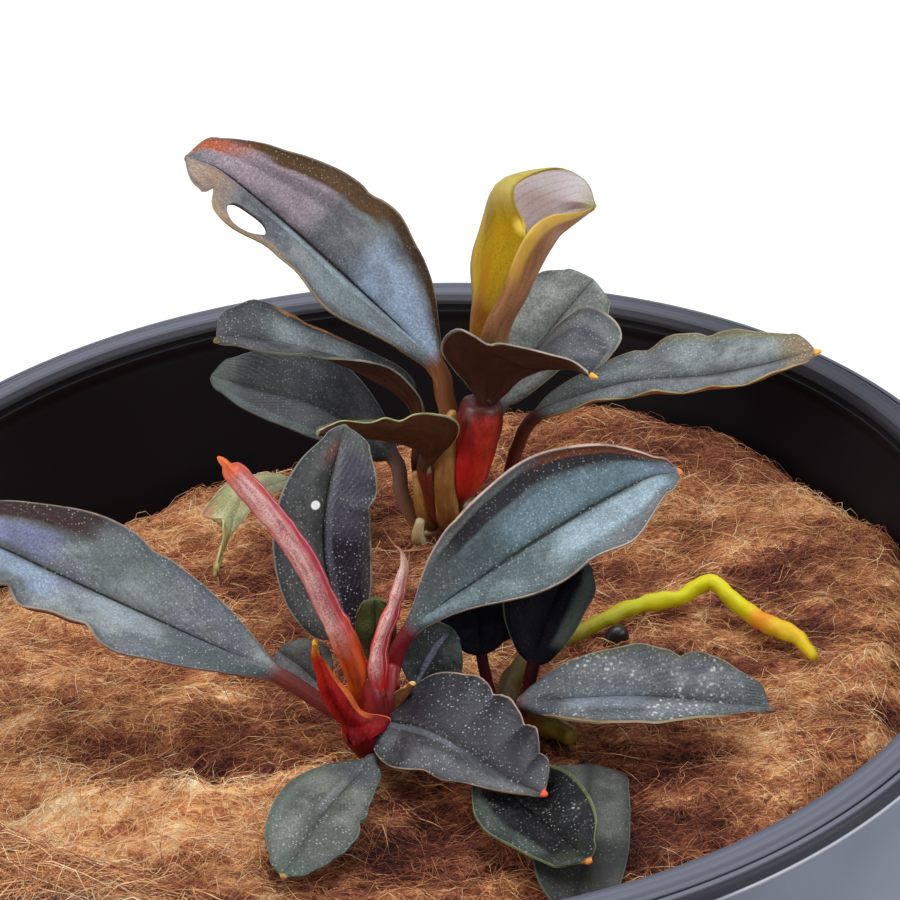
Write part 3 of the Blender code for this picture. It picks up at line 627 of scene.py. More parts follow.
def rolled_skin(name, colours, sheen_colour=(226, 176, 166), sheen_place=0.35, dark_streak_and_seam_shade=(110, 20, 40),
                gloss=0.1, sheen_from=0.12):
    """Fleshy skin in screen colours, which follow one another from the rod's foot to its tip.

    The sheen colour is a painted pale sheen along one side. The dark colour gives the skin's own
    dark streaks and a line of painted shade along the seam of the rolled edge.
    """
    material, start = new_material(name, roughness=0.42, coat=gloss, coat_roughness=0.25)
    along = start.node("Attribute", out="Fac", attribute_name="along")
    around = start.node("Attribute", out="Fac", attribute_name="across")
    place = start.node("TexCoord", out="Object")
    stops = [(k / (len(colours) - 1), tint(*colour)) for k, colour in enumerate(colours)]
    cloud = start.node("TexNoise",
                       {"Vector": place, "Scale": 700.0, "Detail": 4.0, "Roughness": 0.65})
    grain = start.node("TexNoise",
                       {"Vector": place, "Scale": 7600.0, "Detail": 2.0, "Roughness": 0.8})
    colour = start.node("ValToRGB", {0: along + (cloud - 0.5) * 0.10}, stops=stops)
    lengthwise = start.node("CombineXYZ", {0: around * 5.0, 1: along * 5.0, 2: 0.3})
    streak = start.node("TexNoise",
                        {"Vector": lengthwise, "Scale": 1.8, "Detail": 5.0, "Roughness": 0.6})
    # Painted sheen: a pale band along one side of the rod, broken by grain and streaks, and lighter
    # streaks over its middle.
    sheen = 1.0 - abs(around - sheen_place).rise(0.05, 0.42)
    middle = along.rise(sheen_from, sheen_from + 0.18) * (1.0 - along.rise(0.90, 0.96))
    colour = ((1.0 - streak.rise(0.28, 0.48)) * 0.55).mix(colour, tint(*dark_streak_and_seam_shade))
    sheen_breakup = 0.12 + grain.rise(0.36, 0.66) * 0.50 + streak.rise(0.38, 0.60) * 0.34
    colour = (sheen * middle * sheen_breakup).mix(colour, tint(*sheen_colour))
    colour = (streak.rise(0.52, 0.75) * middle * 0.30).mix(colour, tint(*sheen_colour))
    # Painted shade: a dark line along the seam of the rolled edge.
    seam_line = abs(around).rise(0.90, 0.985)
    colour = (seam_line * 0.8).mix(colour, tint(*dark_streak_and_seam_shade))
    paint(material, colour, height=streak * 0.6 + grain * 0.4, strength=0.5, distance=0.07)
    return material


front_stem = stem("front_stem_looks", [(-1.7, -14.6, -11.0), (-1.8, -14.5, -8.2), (-2.0, -14.2, -6.4),
                                       (-2.2, -13.6, -4.6)], (1.05, 1.05, 1.3, 0.9))
fit(front_stem, rolled_skin("maroon_stem", ((96, 50, 52), (104, 52, 54), (110, 12, 14)),
                            sheen_colour=(140, 84, 84), dark_streak_and_seam_shade=(60, 20, 26)), "front_stem")


# The front tuft's leaves: firm oval blades on red stalks, blue-grey and finely speckled above with
# painted bluish reflections, red-brown below, with a pale rim that is partly a painted highlight and
# an orange point. Each is one closed skin round its midrib.
STATIONS = (0.05, 0.2, 0.4, 0.6, 0.8, 0.93)
FINE_SHARES = (0.0, 0.02, 0.05, 0.09, 0.15, 0.23, 0.32, 0.42, 0.52, 0.62, 0.71, 0.79, 0.86, 0.92,
               0.965, 1.0)
FINE_COLUMNS = [-share for share in FINE_SHARES[:0:-1]] + list(FINE_SHARES)
TIP_WIDTH = 0.25
STALK_ROWS = 10
BLADE_ROWS = 59


def half_width(widths, stalk, t):
    """Half width of a blade at t, eased through the values at the stations."""
    if t <= 0.0:
        return stalk
    places = (0.0, *STATIONS, 1.0)
    values = (stalk, *widths, TIP_WIDTH)
    i = next((k for k in range(1, len(places)) if t <= places[k]), len(places) - 1)
    part = min((t - places[i - 1]) / (places[i] - places[i - 1]), 1.0)
    if i == len(places) - 1:
        return values[i - 1] + (values[i] - values[i - 1]) * part ** 2
    slopes = []
    for k in (i - 1, i):
        low, high = max(k - 1, 0), min(k + 1, len(places) - 1)
        if high == len(places) - 1:
            high = k
        slopes.append((values[high] - values[low]) / (places[high] - places[low]))
    span = places[i] - places[i - 1]
    a, b = values[i - 1], values[i]
    return (a * (1 + 2 * part) * (1 - part) ** 2 + b * part ** 2 * (3 - 2 * part)
            + span * part * (1 - part) * (slopes[0] * (1 - part) - slopes[1] * part))


def half_section(rise, roll, cuffs, t, flat):
    """Where a unit half section runs, outwards and upwards, with its slope, at each fine share."""
    out = up = 0.0
    run = [(0.0, 0.0, 0.0)]
    for low, high in zip(FINE_SHARES, FINE_SHARES[1:]):
        part = (low + high) / 2
        angle = rise + roll * part
        for start, first, last, turn in cuffs:
            window = ease((t - first) / 0.08) * ease((last - t) / 0.08)
            angle += math.radians(turn) * window * ease((part - start) / (1.0 - start))
        angle *= flat
        out += math.cos(angle) * (high - low)
        up += math.sin(angle) * (high - low)
        run.append((out, up, angle))
    return run


def leaf(name, spine, stalk_points, left=None, right=None, faces=((0, 0, 1), (0, 0, 1)),
         fold=((0, 0), (0, 0)), curl=((0, 0), (0, 0)), stalk=0.6, ripples=(), cuffs=(),
         margins=(None, None), bow=0.06, bulge=None, wave=0.12, edge=0.17, core=0.5, point=0.45,
         seed=1, hole=None):
    """A leaf with its stalk, as one closed skin.

    The first stalk_points of the spine are the stalk. Left and right are half widths at the
    stations, seen from above with the tip ahead, or else margins holds that side's outline.
    Faces are the directions that the upper side looks in, fold and curl are degrees. A ripple is
    (side, where, lift, inset, span) on a margin, a cuff is (side, from share, from t, to t, turn),
    and a bulge gives how far each half of a rolled blade swells outwards along it.
    """
    start = curve_length(spine[:stalk_points + 1]) / curve_length(spine)
    even = [i / (BLADE_ROWS - 1) for i in range(BLADE_ROWS)]
    blade = [0.5 * ((1 - math.cos(math.pi * share ** 0.9)) / 2 + share) for share in even]
    shares = [start * i / STALK_ROWS for i in range(STALK_ROWS)]
    shares += [start + (1 - start) * t for t in blade]
    centres = smooth_curve(spine, shares)
    before = smooth_curve(spine, [share - 0.012 for share in shares])
    after = smooth_curve(spine, [share + 0.012 for share in shares])
    outlines = [smooth_curve(outline, blade) if outline else None for outline in margins]
    looks = [Vector(face).normalized() for face in faces]
    sheet = []
    for number, (share, centre, a, b) in enumerate(zip(shares, centres, before, after)):
        t = (share - start) / (1 - start)
        ahead = (b - a).normalized()
        face = along_list(looks, t)
        face = (face - ahead * ahead.dot(face)).normalized()
        across = ahead.cross(face)
        flat = ease(t / 0.16)
        halves, reaches = [], []
        for side, sign in ((0, -1), (1, 1)):
            outline = outlines[side]
            lift = wave * noise.noise(Vector((t * 5.0, sign * 2.0, seed * 3.7)))
            quilt = [0.35 * wave * noise.noise(Vector((t * 9.0, sign * part * 3.0, seed * 1.3)))
                     for part in FINE_SHARES]
            if outline and t >= 0:
                rim = outline[number - STALK_ROWS]
                reach = max((rim - centre).length, 0.1)
                blend = ease(t / 0.05)
                points = []
                for part, rise in zip(FINE_SHARES, quilt):
                    if bulge:
                        chord = (1 - math.cos(math.pi * part)) / 2
                        swell = along_list(bulge[side], t) * math.sin(math.pi * part)
                        place = centre.lerp(rim, chord) + across * (sign * swell)
                    else:
                        sag = bow * reach * math.sin(math.pi * part)
                        place = centre.lerp(rim, part) - face * sag
                    place = place + face * (lift * part ** 2 + rise) * flat
                    points.append((centre + across * (sign * stalk * part)).lerp(place, blend))
            else:
                reach = half_width((left, right)[side] if not outline else (stalk,) * 6, stalk, t)
                for where_side, where, rise, inset, span in ripples:
                    if where_side == sign:
                        near = math.exp(-((t - where) / span) ** 2)
                        reach -= inset * near
                        lift += rise * near
                reach = max(reach, 0.1)
                steepest = math.atan2(0.5 * reach, core)
                rise_angle = min(math.radians(along_list(fold[side], t)), steepest)
                roll = math.radians(along_list(curl[side], t))
                own = [cuff[1:] for cuff in cuffs if cuff[0] == sign]
                points = []
                section = half_section(rise_angle, roll, own, t, flat)
                for part, rise, (out, up, angle) in zip(FINE_SHARES, quilt, section):
                    points.append(centre + across * (sign * reach * out)
                                  + face * (reach * up + (lift * part ** 2.5 + rise) * flat))
            halves.append(points)
            reaches.append(reach)
        sheet.append((t, flat, ahead, face, halves[0][:0:-1] + halves[1], reaches))
    rings, marks = [], []
    for number, (t, flat, ahead, face, middles, reaches) in enumerate(sheet):
        lower, upper = sheet[max(number - 1, 0)][4], sheet[min(number + 1, len(sheet) - 1)][4]
        top, under = [], []
        for index, (column, middle) in enumerate(zip(FINE_COLUMNS, middles)):
            low, high = max(index - 1, 0), min(index + 1, len(middles) - 1)
            onward = (upper[index] - lower[index]).normalized()
            if onward.length < 0.5 or onward.dot(ahead) < 0.2 or t > 0.97:
                onward = ahead
            normal = (middles[high] - middles[low]).cross(onward).normalized()
            if normal.length < 0.5:
                normal = face
            part = abs(column)
            reach = reaches[0 if column < 0 else 1]
            from_midrib = part * reach
            groove = 0.13 * math.exp(-(from_midrib / 0.24) ** 2) * flat * ease((1 - t) / 0.2)
            ridge = 0.10 * math.exp(-(from_midrib / 0.3) ** 2) * flat
            blade_half = 0.5 * (edge + (core - edge) * (1 - part ** 1.5) * (1 - 0.45 * t))
            round_half = stalk * math.sqrt(1 - (0.93 * part) ** 2)
            half = round_half + (blade_half - round_half) * flat
            row = t if t >= 0 else t * (1 - start) / max(start, 0.01)
            top.append((in_pot(middle + normal * (half - groove)), (column, row, 0.0)))
            under.append((in_pot(middle - normal * (half + ridge)), (column, row, 1.0)))
        ring = top + under[::-1]
        rings.append([place for place, mark in ring])
        marks.append([mark for place, mark in ring])
    if point:
        ahead = (centres[-1] - centres[-4]).normalized()
        last, last_marks = rings[-1], marks[-1]
        middle = sum(last, Vector()) / len(last)
        for step, size in ((0.3, 0.85), (0.6, 0.7), (0.85, 0.45), (1.0, 0.12)):
            rings.append([middle + (place - middle) * size + ahead * point * step * MM
                          for place in last])
            marks.append([(side, 1.0 + 0.1 * step, below) for side, t, below in last_marks])
    bm = bmesh.new()
    loft(bm, rings, marks)
    if hole:
        tear_hole(bm, *hole)
    return add_piece(name, bm, sharp=70)


def tear_hole(bm, across, along, across_radius, along_radius):
    """Open an eaten hole through a blade, ease its rim and close it."""
    columns, rows = bm.verts.layers.float["across"], bm.verts.layers.float["along"]
    gone = []
    for face in bm.faces:
        u = sum(vert[columns] for vert in face.verts) / len(face.verts)
        t = sum(vert[rows] for vert in face.verts) / len(face.verts)
        inside = ((u - across) / across_radius) ** 2 + ((t - along) / along_radius) ** 2 < 1
        if inside and len(face.verts) < 5:
            gone.append(face)
    bmesh.ops.delete(bm, geom=gone, context="FACES")
    rim = [edge for edge in bm.edges if edge.is_boundary]
    verts = list({vert for edge in rim for vert in edge.verts})
    for turn in range(3):
        places = {}
        for vert in verts:
            beside = [edge.other_vert(vert).co for edge in vert.link_edges if edge.is_boundary]
            places[vert] = sum(beside, Vector()) / 2
        for vert, place in places.items():
            vert.co = vert.co.lerp(place, 0.5)
    bmesh.ops.bridge_loops(bm, edges=rim)
    bmesh.ops.recalc_face_normals(bm, faces=bm.faces)


def leaf_skin(name, tones, marks=(), rim=(150, 140, 125), under=((60, 40, 30), (60, 40, 30)),
              stalk=((75, 20, 22), (110, 30, 25)), tip=(220, 120, 40), specks=0.6,
              speck_tone=(196, 206, 206), roughness=0.42, specular=0.35, dust=0.0, midrib=0.75,
              groove=0.045, spot=None, mottle=0.6, rim_width=1.0, rim_from=-1.0, left_rim=None,
              under_marks=(), fold=None):
    """Skin of a leaf, in screen colours.

    Tones are the blade's main, shaded and second colour, under is the lower side of the left and
    the right half, and a mark is (across, spread, from along, to along, colour, strength).
    """
    material, start = new_material(name, roughness=roughness, specular=specular)
    across = start.node("Attribute", out="Fac", attribute_name="across")
    along = start.node("Attribute", out="Fac", attribute_name="along")
    below = start.node("Attribute", out="Fac", attribute_name="under").rise(0.4, 0.6)
    place = start.node("TexCoord", out="Object")
    reach = abs(across)
    cloud = start.node("TexNoise",
                       {"Vector": place, "Scale": 260.0, "Detail": 6.0, "Roughness": 0.65})
    patch = start.node("TexNoise", {"Vector": place, "Scale": 120.0, "Detail": 3.0, "Roughness": 0.6})
    grain = start.node("TexNoise",
                       {"Vector": place, "Scale": 5600.0, "Detail": 2.0, "Roughness": 0.8})
    lengthwise = start.node("CombineXYZ", {0: across * 4.0, 1: along * 2.2, 2: 0.7})
    bands = start.node("TexNoise",
                       {"Vector": lengthwise, "Scale": 1.8, "Detail": 3.0, "Distortion": 0.5})
    colour = (cloud * 0.85 + bands * 0.15).rise(0.38, 0.60).mix(tint(*tones[1]), tint(*tones[0]))
    colour = (patch.rise(0.44, 0.60) * 0.8).mix(colour, tint(*tones[2]))
    dark = tint(*[v * 0.42 for v in tones[1]])
    light = tint(*[min(v * 1.45 + 24, 255) for v in tones[0]])
    slant = start.node("CombineXYZ", {0: along * 10.0 - reach * 4.5, 1: 0.0, 2: 0.0})
    veins = start.node("TexWave", {"Vector": slant, "Scale": 0.6, "Distortion": 1.6, "Detail": 2.0},
                       wave_type="BANDS", bands_direction="X")
    colour = ((1.0 - veins.rise(0.0, 0.3)) * 0.14).mix(colour, dark)
    # Painted highlight: a lighter band between the midrib and the margin, in patches.
    middle = reach.rise(0.1, 0.4) * (1.0 - reach.rise(0.55, 0.95)) * cloud.rise(0.44, 0.62)
    colour = (middle * 0.25).mix(colour, light)
    ragged = cloud.rise(0.34, 0.56)

    # A mark paints a patch of colour. Some are the leaf's own, such as brown margins and orange
    # points, and some are painted light and shade, such as bluish reflections and light lines beside
    # the midrib.
    def marked(colour, marks):
        for centre, spread, first, last, mark, strength in marks:
            area = 1.0 - abs(across - centre + (patch - 0.5) * spread * 1.2).rise(spread * 0.45,
                                                                                  spread)
            area = area * along.rise(first - 0.06, first + 0.06)
            area = area * (1.0 - along.rise(last - 0.06, last + 0.06))
            colour = (area * (0.62 + ragged * 0.45) * strength).mix(colour, tint(*mark))
        return colour

    colour = marked(colour, marks)
    # Painted shade: darker towards the margins, and a dark line with a soft dark band along the
    # midrib's groove.
    colour = (reach.rise(0.80, 0.99) * 0.4).mix(colour, dark)
    middle_line = (1.0 - reach.rise(groove * 0.3, groove * 1.1)) * midrib
    colour = (middle_line + (1.0 - reach.rise(0.0, groove * 5)) * 0.22).mix(colour, dark)
    # Painted light and shade: a fine stipple of a darker copy and a lighter copy of the colour, a
    # painted glitter, with mottle as its strength.
    shade = start.node("HueSaturation", {"Color": colour, "Value": 0.45})
    lit_copy = start.node("HueSaturation", {"Color": colour, "Value": 1.75, "Saturation": 0.9})
    colour = ((1.0 - grain.rise(0.30, 0.52)) * mottle).mix(colour, shade)
    colour = (grain.rise(0.50,
                         0.68) * mottle * (0.5 + patch.rise(0.34, 0.60) * 0.5)).mix(colour, lit_copy)
    dots = start.node("TexVoronoi", {"Vector": place, "Scale": 4600.0}, out="Distance")
    pick = dots.node("SeparateColor", {0: dots.sibling("Color")}, out="Red")
    dot = (1.0 - dots.rise(0.12, 0.36)) * pick.rise(0.20,
                                                    1.0) * (0.20 + patch.rise(0.36, 0.58) * 0.60)
    large = start.node("TexVoronoi", {"Vector": place, "Scale": 1900.0}, out="Distance")
    large_pick = large.node("SeparateColor", {0: large.sibling("Color")}, out="Green")
    dot = (dot + (1.0 - large.rise(0.02, 0.09)) * large_pick.rise(0.70, 1.0) * 0.7) * specks
    colour = dot.mix(colour, tint(*speck_tone))
    if dust:
        motes = start.node("TexVoronoi", {"Vector": place, "Scale": 2600.0}, out="Distance")
        mote = (1.0 - motes.rise(0.08, 0.42)) * patch.rise(0.47, 0.58) * cloud.rise(0.48, 0.58) * dust
        colour = mote.mix(colour, tint(228, 232, 232))
    if spot:
        from_spot = place.node("VectorMath", {0: place, 1: in_pot(spot)}, out="Value",
                               operation="DISTANCE")
        colour = (1.0 - from_spot.rise(0.26 * MM, 0.38 * MM)).mix(colour, tint(250, 250, 248))
    # Painted light and shade on the lower side: lengthwise streaks of a lit copy of its colour, and a
    # stipple of a half-dark copy.
    lower = across.rise(-0.02, 0.02).mix(tint(*under[0]), tint(*under[1]))
    lit = [tint(*[min(v * 1.35 + 6, 255) for v in half]) for half in under]
    light_side = across.rise(-0.02, 0.02).mix(*lit)
    lower = (bands.rise(0.35, 0.7) * 0.6).mix(lower, light_side)
    lower = ((1.0 - grain.rise(0.35, 0.55)) * 0.3).mix(lower, tint(*[v * 0.5 for v in under[0]]))
    colour = below.mix(colour, marked(lower, under_marks))
    # Painted highlight: a yellow glow round the fold point, where the margin catches the light.
    if fold:
        from_highlight = place.node("VectorMath", {0: place, 1: in_pot(fold)}, out="Value",
                               operation="DISTANCE")
        ragged_highlight = (from_highlight * 1000.0 + (cloud - 0.5) * 2.0).rise(0.35, 1.15)
        colour = (1.0 - ragged_highlight).mix(colour, tint(255, 220, 96))
    # The pale rim is partly the margin's own colour and partly a painted highlight along the edge.
    rim_colour = across.rise(-0.02, 0.02).mix(tint(*(left_rim or rim)), tint(*rim))
    rim_area = reach.rise(0.985 - 0.02 * rim_width, 0.990) * along.rise(rim_from - 0.06,
                                                                        rim_from + 0.06)
    colour = (rim_area * (0.25 + ragged * 0.75)).mix(colour, rim_colour)
    stalk_colour = start.node("ValToRGB", {0: along + 1.0},
                              stops=((0.0, tint(*stalk[0])), (1.0, tint(*stalk[1]))))
    # Painted highlight: lighter streaks of a brighter copy of the stalk's colour.
    lit_stalk = tint(*[min(v * 1.5, 255) for v in stalk[1]])
    stalk_colour = (bands.rise(0.5, 0.72) * 0.35).mix(stalk_colour, lit_stalk)
    colour = (1.0 - along.rise(-0.02, 0.05)).mix(colour, stalk_colour)
    colour = along.rise(0.992, 1.005).mix(colour, tint(*tip))
    height = (1.0 - grain.rise(0.3, 0.7)) * 0.3 + dot * 0.6 + veins * 0.25 + cloud * 0.6
    paint(material, colour, roughness=roughness - 0.10 + cloud * 0.2, height=height, strength=0.45,
          distance=0.08)
    return material


fit(leaf("front_leaf_left_looks",
         [(-2.2, -13.4, -5.9), (-3.6, -13.1, -5.5), (-5.2, -12.8, -4.5), (-8.1, -12.0, -2.5),
          (-14.8, -10.3, 0.6), (-21.4, -8.6, 3.7), (-27.8, -6.9, 6.7), (-31.5, -6.0, 7.5)], 3,
         (0.9, 2.9, 4.3, 4.1, 4.1, 2.9), (1.1, 3.0, 4.4, 5.1, 3.7, 2.2),
         ((0, -0.55, 0.83), (0.1, -0.6, 0.8)), ((30, 30), (10, 10)), stalk=0.55, seed=1, point=0.2,
         ripples=((-1, 0.735, 0.5, 1.0, 0.028), (-1, 0.66, -0.5, -0.5, 0.045),
                  (-1, 0.82, -0.5, -0.4, 0.045), (-1, 0.50, 0.3, 0.5, 0.03),
                  (-1, 0.40, -0.2, -0.2, 0.05), (1, 0.5, 0.3, 0.0, 0.08),
                  (1, 0.44, -0.2, 0.25, 0.03)),
         cuffs=((-1, 0.84, 0.45, 0.72, 95),)),
    # Painted reflections and highlights: the bluish, violet and pale grey marks in the blade's
    # middle.
    leaf_skin("front_left_skin", ((112, 118, 118), (80, 87, 87), (97, 100, 112)), specks=0.8,
              marks=((0.9, 0.45, 0.58, 1.05, (52, 28, 28), 1.25),
                     (-0.5, 0.5, -0.05, 0.30, (66, 76, 76), 0.9),
                     (-0.35, 0.35, 0.62, 0.97, (132, 146, 168), 0.9),
                     (0.3, 0.3, 0.68, 0.95, (116, 118, 158), 0.8),
                     (-0.3, 0.3, 0.36, 0.55, (140, 150, 158), 0.7),
                     (0.6, 0.4, 0.3, 0.6, (92, 100, 98), 0.6)),
              rim=(150, 128, 116), under=((84, 40, 30), (70, 40, 34)),
              stalk=((92, 26, 24), (104, 44, 38))),
    "front_leaf_left")
fit(leaf("front_leaf_centre_looks",
         [(-2.1, -13.2, -5.0), (-2.7, -11.3, -4.1), (-3.2, -9.7, -1.4), (-4.3, -7.9, 3.6),
          (-3.9, -6.6, 8.2), (-2.3, -4.5, 12.8)], 2,
         (2.0, 3.2, 3.6, 3.5, 2.5, 1.2), (1.4, 2.9, 3.5, 3.4, 3.3, 2.2),
         ((0, -0.9, 0.45), (0, -0.95, 0.3)), ((18, 18), (18, 18)), stalk=0.5, seed=2, point=0.12,
         ripples=((1, 0.66, 0.3, 0.25, 0.03), (1, 0.75, -0.3, -0.1, 0.04),
                  (-1, 0.6, 0.3, 0.0, 0.08))),
    # Painted highlight: the light line beside the midrib.
    leaf_skin("front_centre_skin", ((72, 73, 72), (49, 50, 50), (61, 63, 65)), specks=0.8,
              marks=((0.45, 0.55, -0.05, 0.55, (22, 20, 34), 1.25),
                     (0.5, 0.5, 0.5, 0.9, (58, 56, 72), 1.0),
                     (0.14, 0.10, 0.15, 0.9, (84, 86, 102), 0.6),
                     (-0.25, 0.3, 0.84, 0.95, (112, 58, 46), 0.6),
                     (0.0, 1.3, 0.93, 1.1, (66, 72, 74), 0.7),
                     (-0.8, 0.25, 0.0, 0.9, (74, 76, 76), 0.6)),
              rim=(124, 126, 112), tip=(96, 100, 60), midrib=0.9, spot=(-4.65, -7.1, 8.11)),
    "front_leaf_centre")
fit(leaf("front_leaf_right_looks",
         [(-1.8, -13.3, -5.6), (-0.4, -12.9, -3.2), (1.3, -11.8, 0.3), (7.1, -9.9, 3.5),
          (12.6, -7.9, 5.9), (18.1, -6.0, 7.8), (20.7, -5.0, 7.7)], 2,
         (1.0, 3.5, 5.1, 5.6, 3.9, 1.3), (0.6, 1.5, 3.4, 3.8, 3.2, 1.6),
         ((0, -0.65, 0.76), (0.1, -0.6, 0.8)), ((8, 8), (8, 8)), ((30, 30), (8, 8)), stalk=0.55,
         seed=3,
         ripples=((1, 0.60, 0.2, 0.3, 0.07), (1, 0.75, -0.2, -0.3, 0.06), (-1, 0.35, 0.3, 0.0, 0.08)),
         cuffs=((-1, 0.66, 0.25, 1.1, 38),), point=0.4),
    # Painted reflections: the bluish marks on the blade.
    leaf_skin("front_right_skin", ((91, 107, 111), (66, 79, 82), (79, 94, 99)), specks=0.7,
              marks=((-0.72, 0.18, 0.18, 0.92, (40, 36, 42), 1.1),
                     (-0.92, 0.16, 0.60, 1.1, (128, 66, 40), 1.3),
                     (-0.94, 0.14, 0.1, 0.6, (124, 124, 120), 0.8),
                     (0.85, 0.2, 0.68, 0.95, (92, 92, 98), 0.7),
                     (0.35, 0.4, 0.55, 0.95, (150, 172, 186), 0.6),
                     (-0.35, 0.3, 0.1, 0.62, (64, 74, 80), 0.7),
                     (-0.35, 0.35, 0.85, 1.0, (112, 122, 150), 0.5),
                     (-0.5, 0.45, -0.1, 0.25, (74, 80, 78), 0.8),
                     (-0.28, 0.28, 0.40, 0.9, (104, 128, 140), 0.7)),
              rim=(176, 152, 138), stalk=((140, 8, 14), (104, 14, 26)), midrib=0.95,
              tip=(226, 128, 62)),
    "front_leaf_right")
fit(leaf("front_leaf_low_right_looks",
         [(-1.9, -14.2, -6.4), (-1.5, -14.4, -5.8), (-1.0, -14.7, -5.2), (1.7, -16.8, -4.2),
          (4.5, -19.2, -4.5), (7.4, -22.3, -4.9), (9.6, -24.0, -5.0)], 2,
         (2.0, 4.3, 4.9, 4.4, 3.4, 2.2), (2.4, 3.3, 2.9, 2.1, 1.1, 0.5),
         ((-0.1, -0.35, 0.93), (0.1, -0.45, 0.9)), ((5, 5), (-12, -12)), seed=4, stalk=0.5,
         ripples=((-1, 0.36, 0.3, -0.1, 0.04), (-1, 0.445, -0.3, 0.30, 0.022),
                  (-1, 0.54, 0.4, -0.1, 0.035), (-1, 0.645, -0.4, 0.22, 0.025),
                  (-1, 0.75, 0.4, -0.25, 0.04), (-1, 0.85, -0.3, 0.22, 0.025),
                  (-1, 0.93, 0.2, -0.2, 0.03), (1, 0.40, -0.2, 0.3, 0.05),
                  (1, 0.55, 0.2, -0.3, 0.06)), point=0.35),
    # Painted highlight: the light line beside the midrib.
    leaf_skin("front_low_right_skin", ((63, 65, 67), (43, 43, 47), (53, 55, 60)), specks=0.8,
              under=((60, 36, 28), (112, 66, 50)),
              marks=((-0.5, 0.8, 0.15, 0.9, (30, 28, 36), 1.25),
                     (0.10, 0.1, 0.0, 0.5, (98, 102, 112), 0.6),
                     (0.7, 0.4, 0.3, 0.9, (104, 104, 108), 0.5)),
              rim=(160, 136, 118), tip=(236, 92, 44), midrib=0.9),
    "front_leaf_low_right")
fit(leaf("front_leaf_low_left_looks",
         [(-2.0, -14.4, -7.6), (-1.9, -15.9, -7.0), (-2.0, -17.5, -6.6), (-4.9, -22.8, -6.4),
          (-7.6, -28.4, -7.0)], 2,
         (1.2, 1.8, 2.6, 3.0, 2.6, 1.5), (1.1, 2.4, 3.3, 3.3, 2.6, 1.4),
         ((0, -0.3, 0.95), (0, -0.35, 0.93)), ((6, 6), (6, 6)), stalk=0.5, seed=5, point=0.2,
         ripples=((-1, 0.5, 0.15, 0.3, 0.035), (-1, 0.34, -0.15, 0.15, 0.04),
                  (-1, 0.62, 0.0, -0.1, 0.04), (-1, 0.80, 0.1, 0.15, 0.04))),
    # Painted highlight: the light line beside the midrib.
    leaf_skin("front_low_left_skin", ((88, 92, 85), (66, 70, 63), (78, 82, 76)), specks=0.85,
              marks=((0.1, 0.14, 0.05, 0.5, (124, 124, 124), 0.5),
                     (0.0, 0.9, 0.84, 1.05, (72, 88, 70), 0.7),
                     (0.0, 1.4, -0.1, 0.22, (70, 72, 78), 0.85),
                     (0.9, 0.25, 0.1, 0.8, (92, 106, 92), 0.5)),
              rim=(92, 106, 94), stalk=((70, 60, 62), (84, 88, 90)), tip=(190, 150, 90), midrib=0.5,
              roughness=0.55, spot=(-3.35, -26.6, -6.3), groove=0.035),
    "front_leaf_low_left")
fit(leaf("front_leaf_small_left_looks",
         [(-2.5, -13.0, -6.3), (-3.4, -11.3, -6.1), (-5.0, -10.1, -5.2), (-6.6, -9.6, -3.6),
          (-8.2, -8.6, -2.8)], 2,
         (0.9, 1.4, 1.7, 1.6, 1.3, 0.7), (1.0, 1.8, 2.3, 2.2, 1.6, 0.9),
         ((0, -0.6, 0.8), (0, -0.6, 0.8)), ((10, 10), (10, 10)), stalk=0.4, seed=6, point=0.0),
    leaf_skin("front_small_left_skin", ((119, 117, 115), (80, 80, 80), (101, 98, 101)),
              rim=(124, 96, 76), tip=(40, 36, 34), midrib=0.5),
    "front_leaf_small_left")
fit(leaf("front_leaf_small_back_looks",
         [(-1.7, -13.0, -6.0), (-1.2, -11.4, -5.4), (-1.4, -11.0, -2.8), (-1.1, -11.2, 0.0),
          (-0.9, -11.2, 2.8)], 2,
         (0.7, 1.0, 1.3, 1.4, 1.3, 1.0), (0.8, 1.1, 1.4, 1.5, 1.4, 1.0),
         ((0, -1, 0.2), (0, -1, 0.2)), ((10, 10), (10, 10)), stalk=0.3, seed=7, point=0.0),
    leaf_skin("front_small_back_skin", ((62, 74, 38), (40, 48, 28), (70, 78, 36)), specks=0.1,
              rim=(80, 84, 40), tip=(80, 84, 40), midrib=0.3),
    "front_leaf_small_back")
fit(leaf("front_leaf_small_right_looks",
         [(-1.4, -13.5, -6.9), (0.2, -12.2, -6.0), (1.4, -11.6, -4.4), (2.9, -10.6, -2.2),
          (4.3, -10.0, -0.9)], 2,
         (0.8, 1.7, 2.4, 2.4, 1.9, 1.0), (0.9, 1.8, 2.4, 2.4, 1.9, 1.0),
         ((0, -0.8, 0.6), (0, -0.8, 0.6)), ((5, 5), (5, 5)), stalk=0.4, seed=8, point=0.0),
    # Painted highlight: the bluish line along the midrib.
    leaf_skin("front_small_right_skin", ((62, 68, 64), (34, 40, 36), (52, 58, 58)), specks=0.8,
              marks=((0.0, 0.12, 0.1, 0.9, (124, 132, 158), 0.9),), midrib=0.0, rim=(74, 84, 76),
              tip=(60, 74, 70)),
    "front_leaf_small_right")


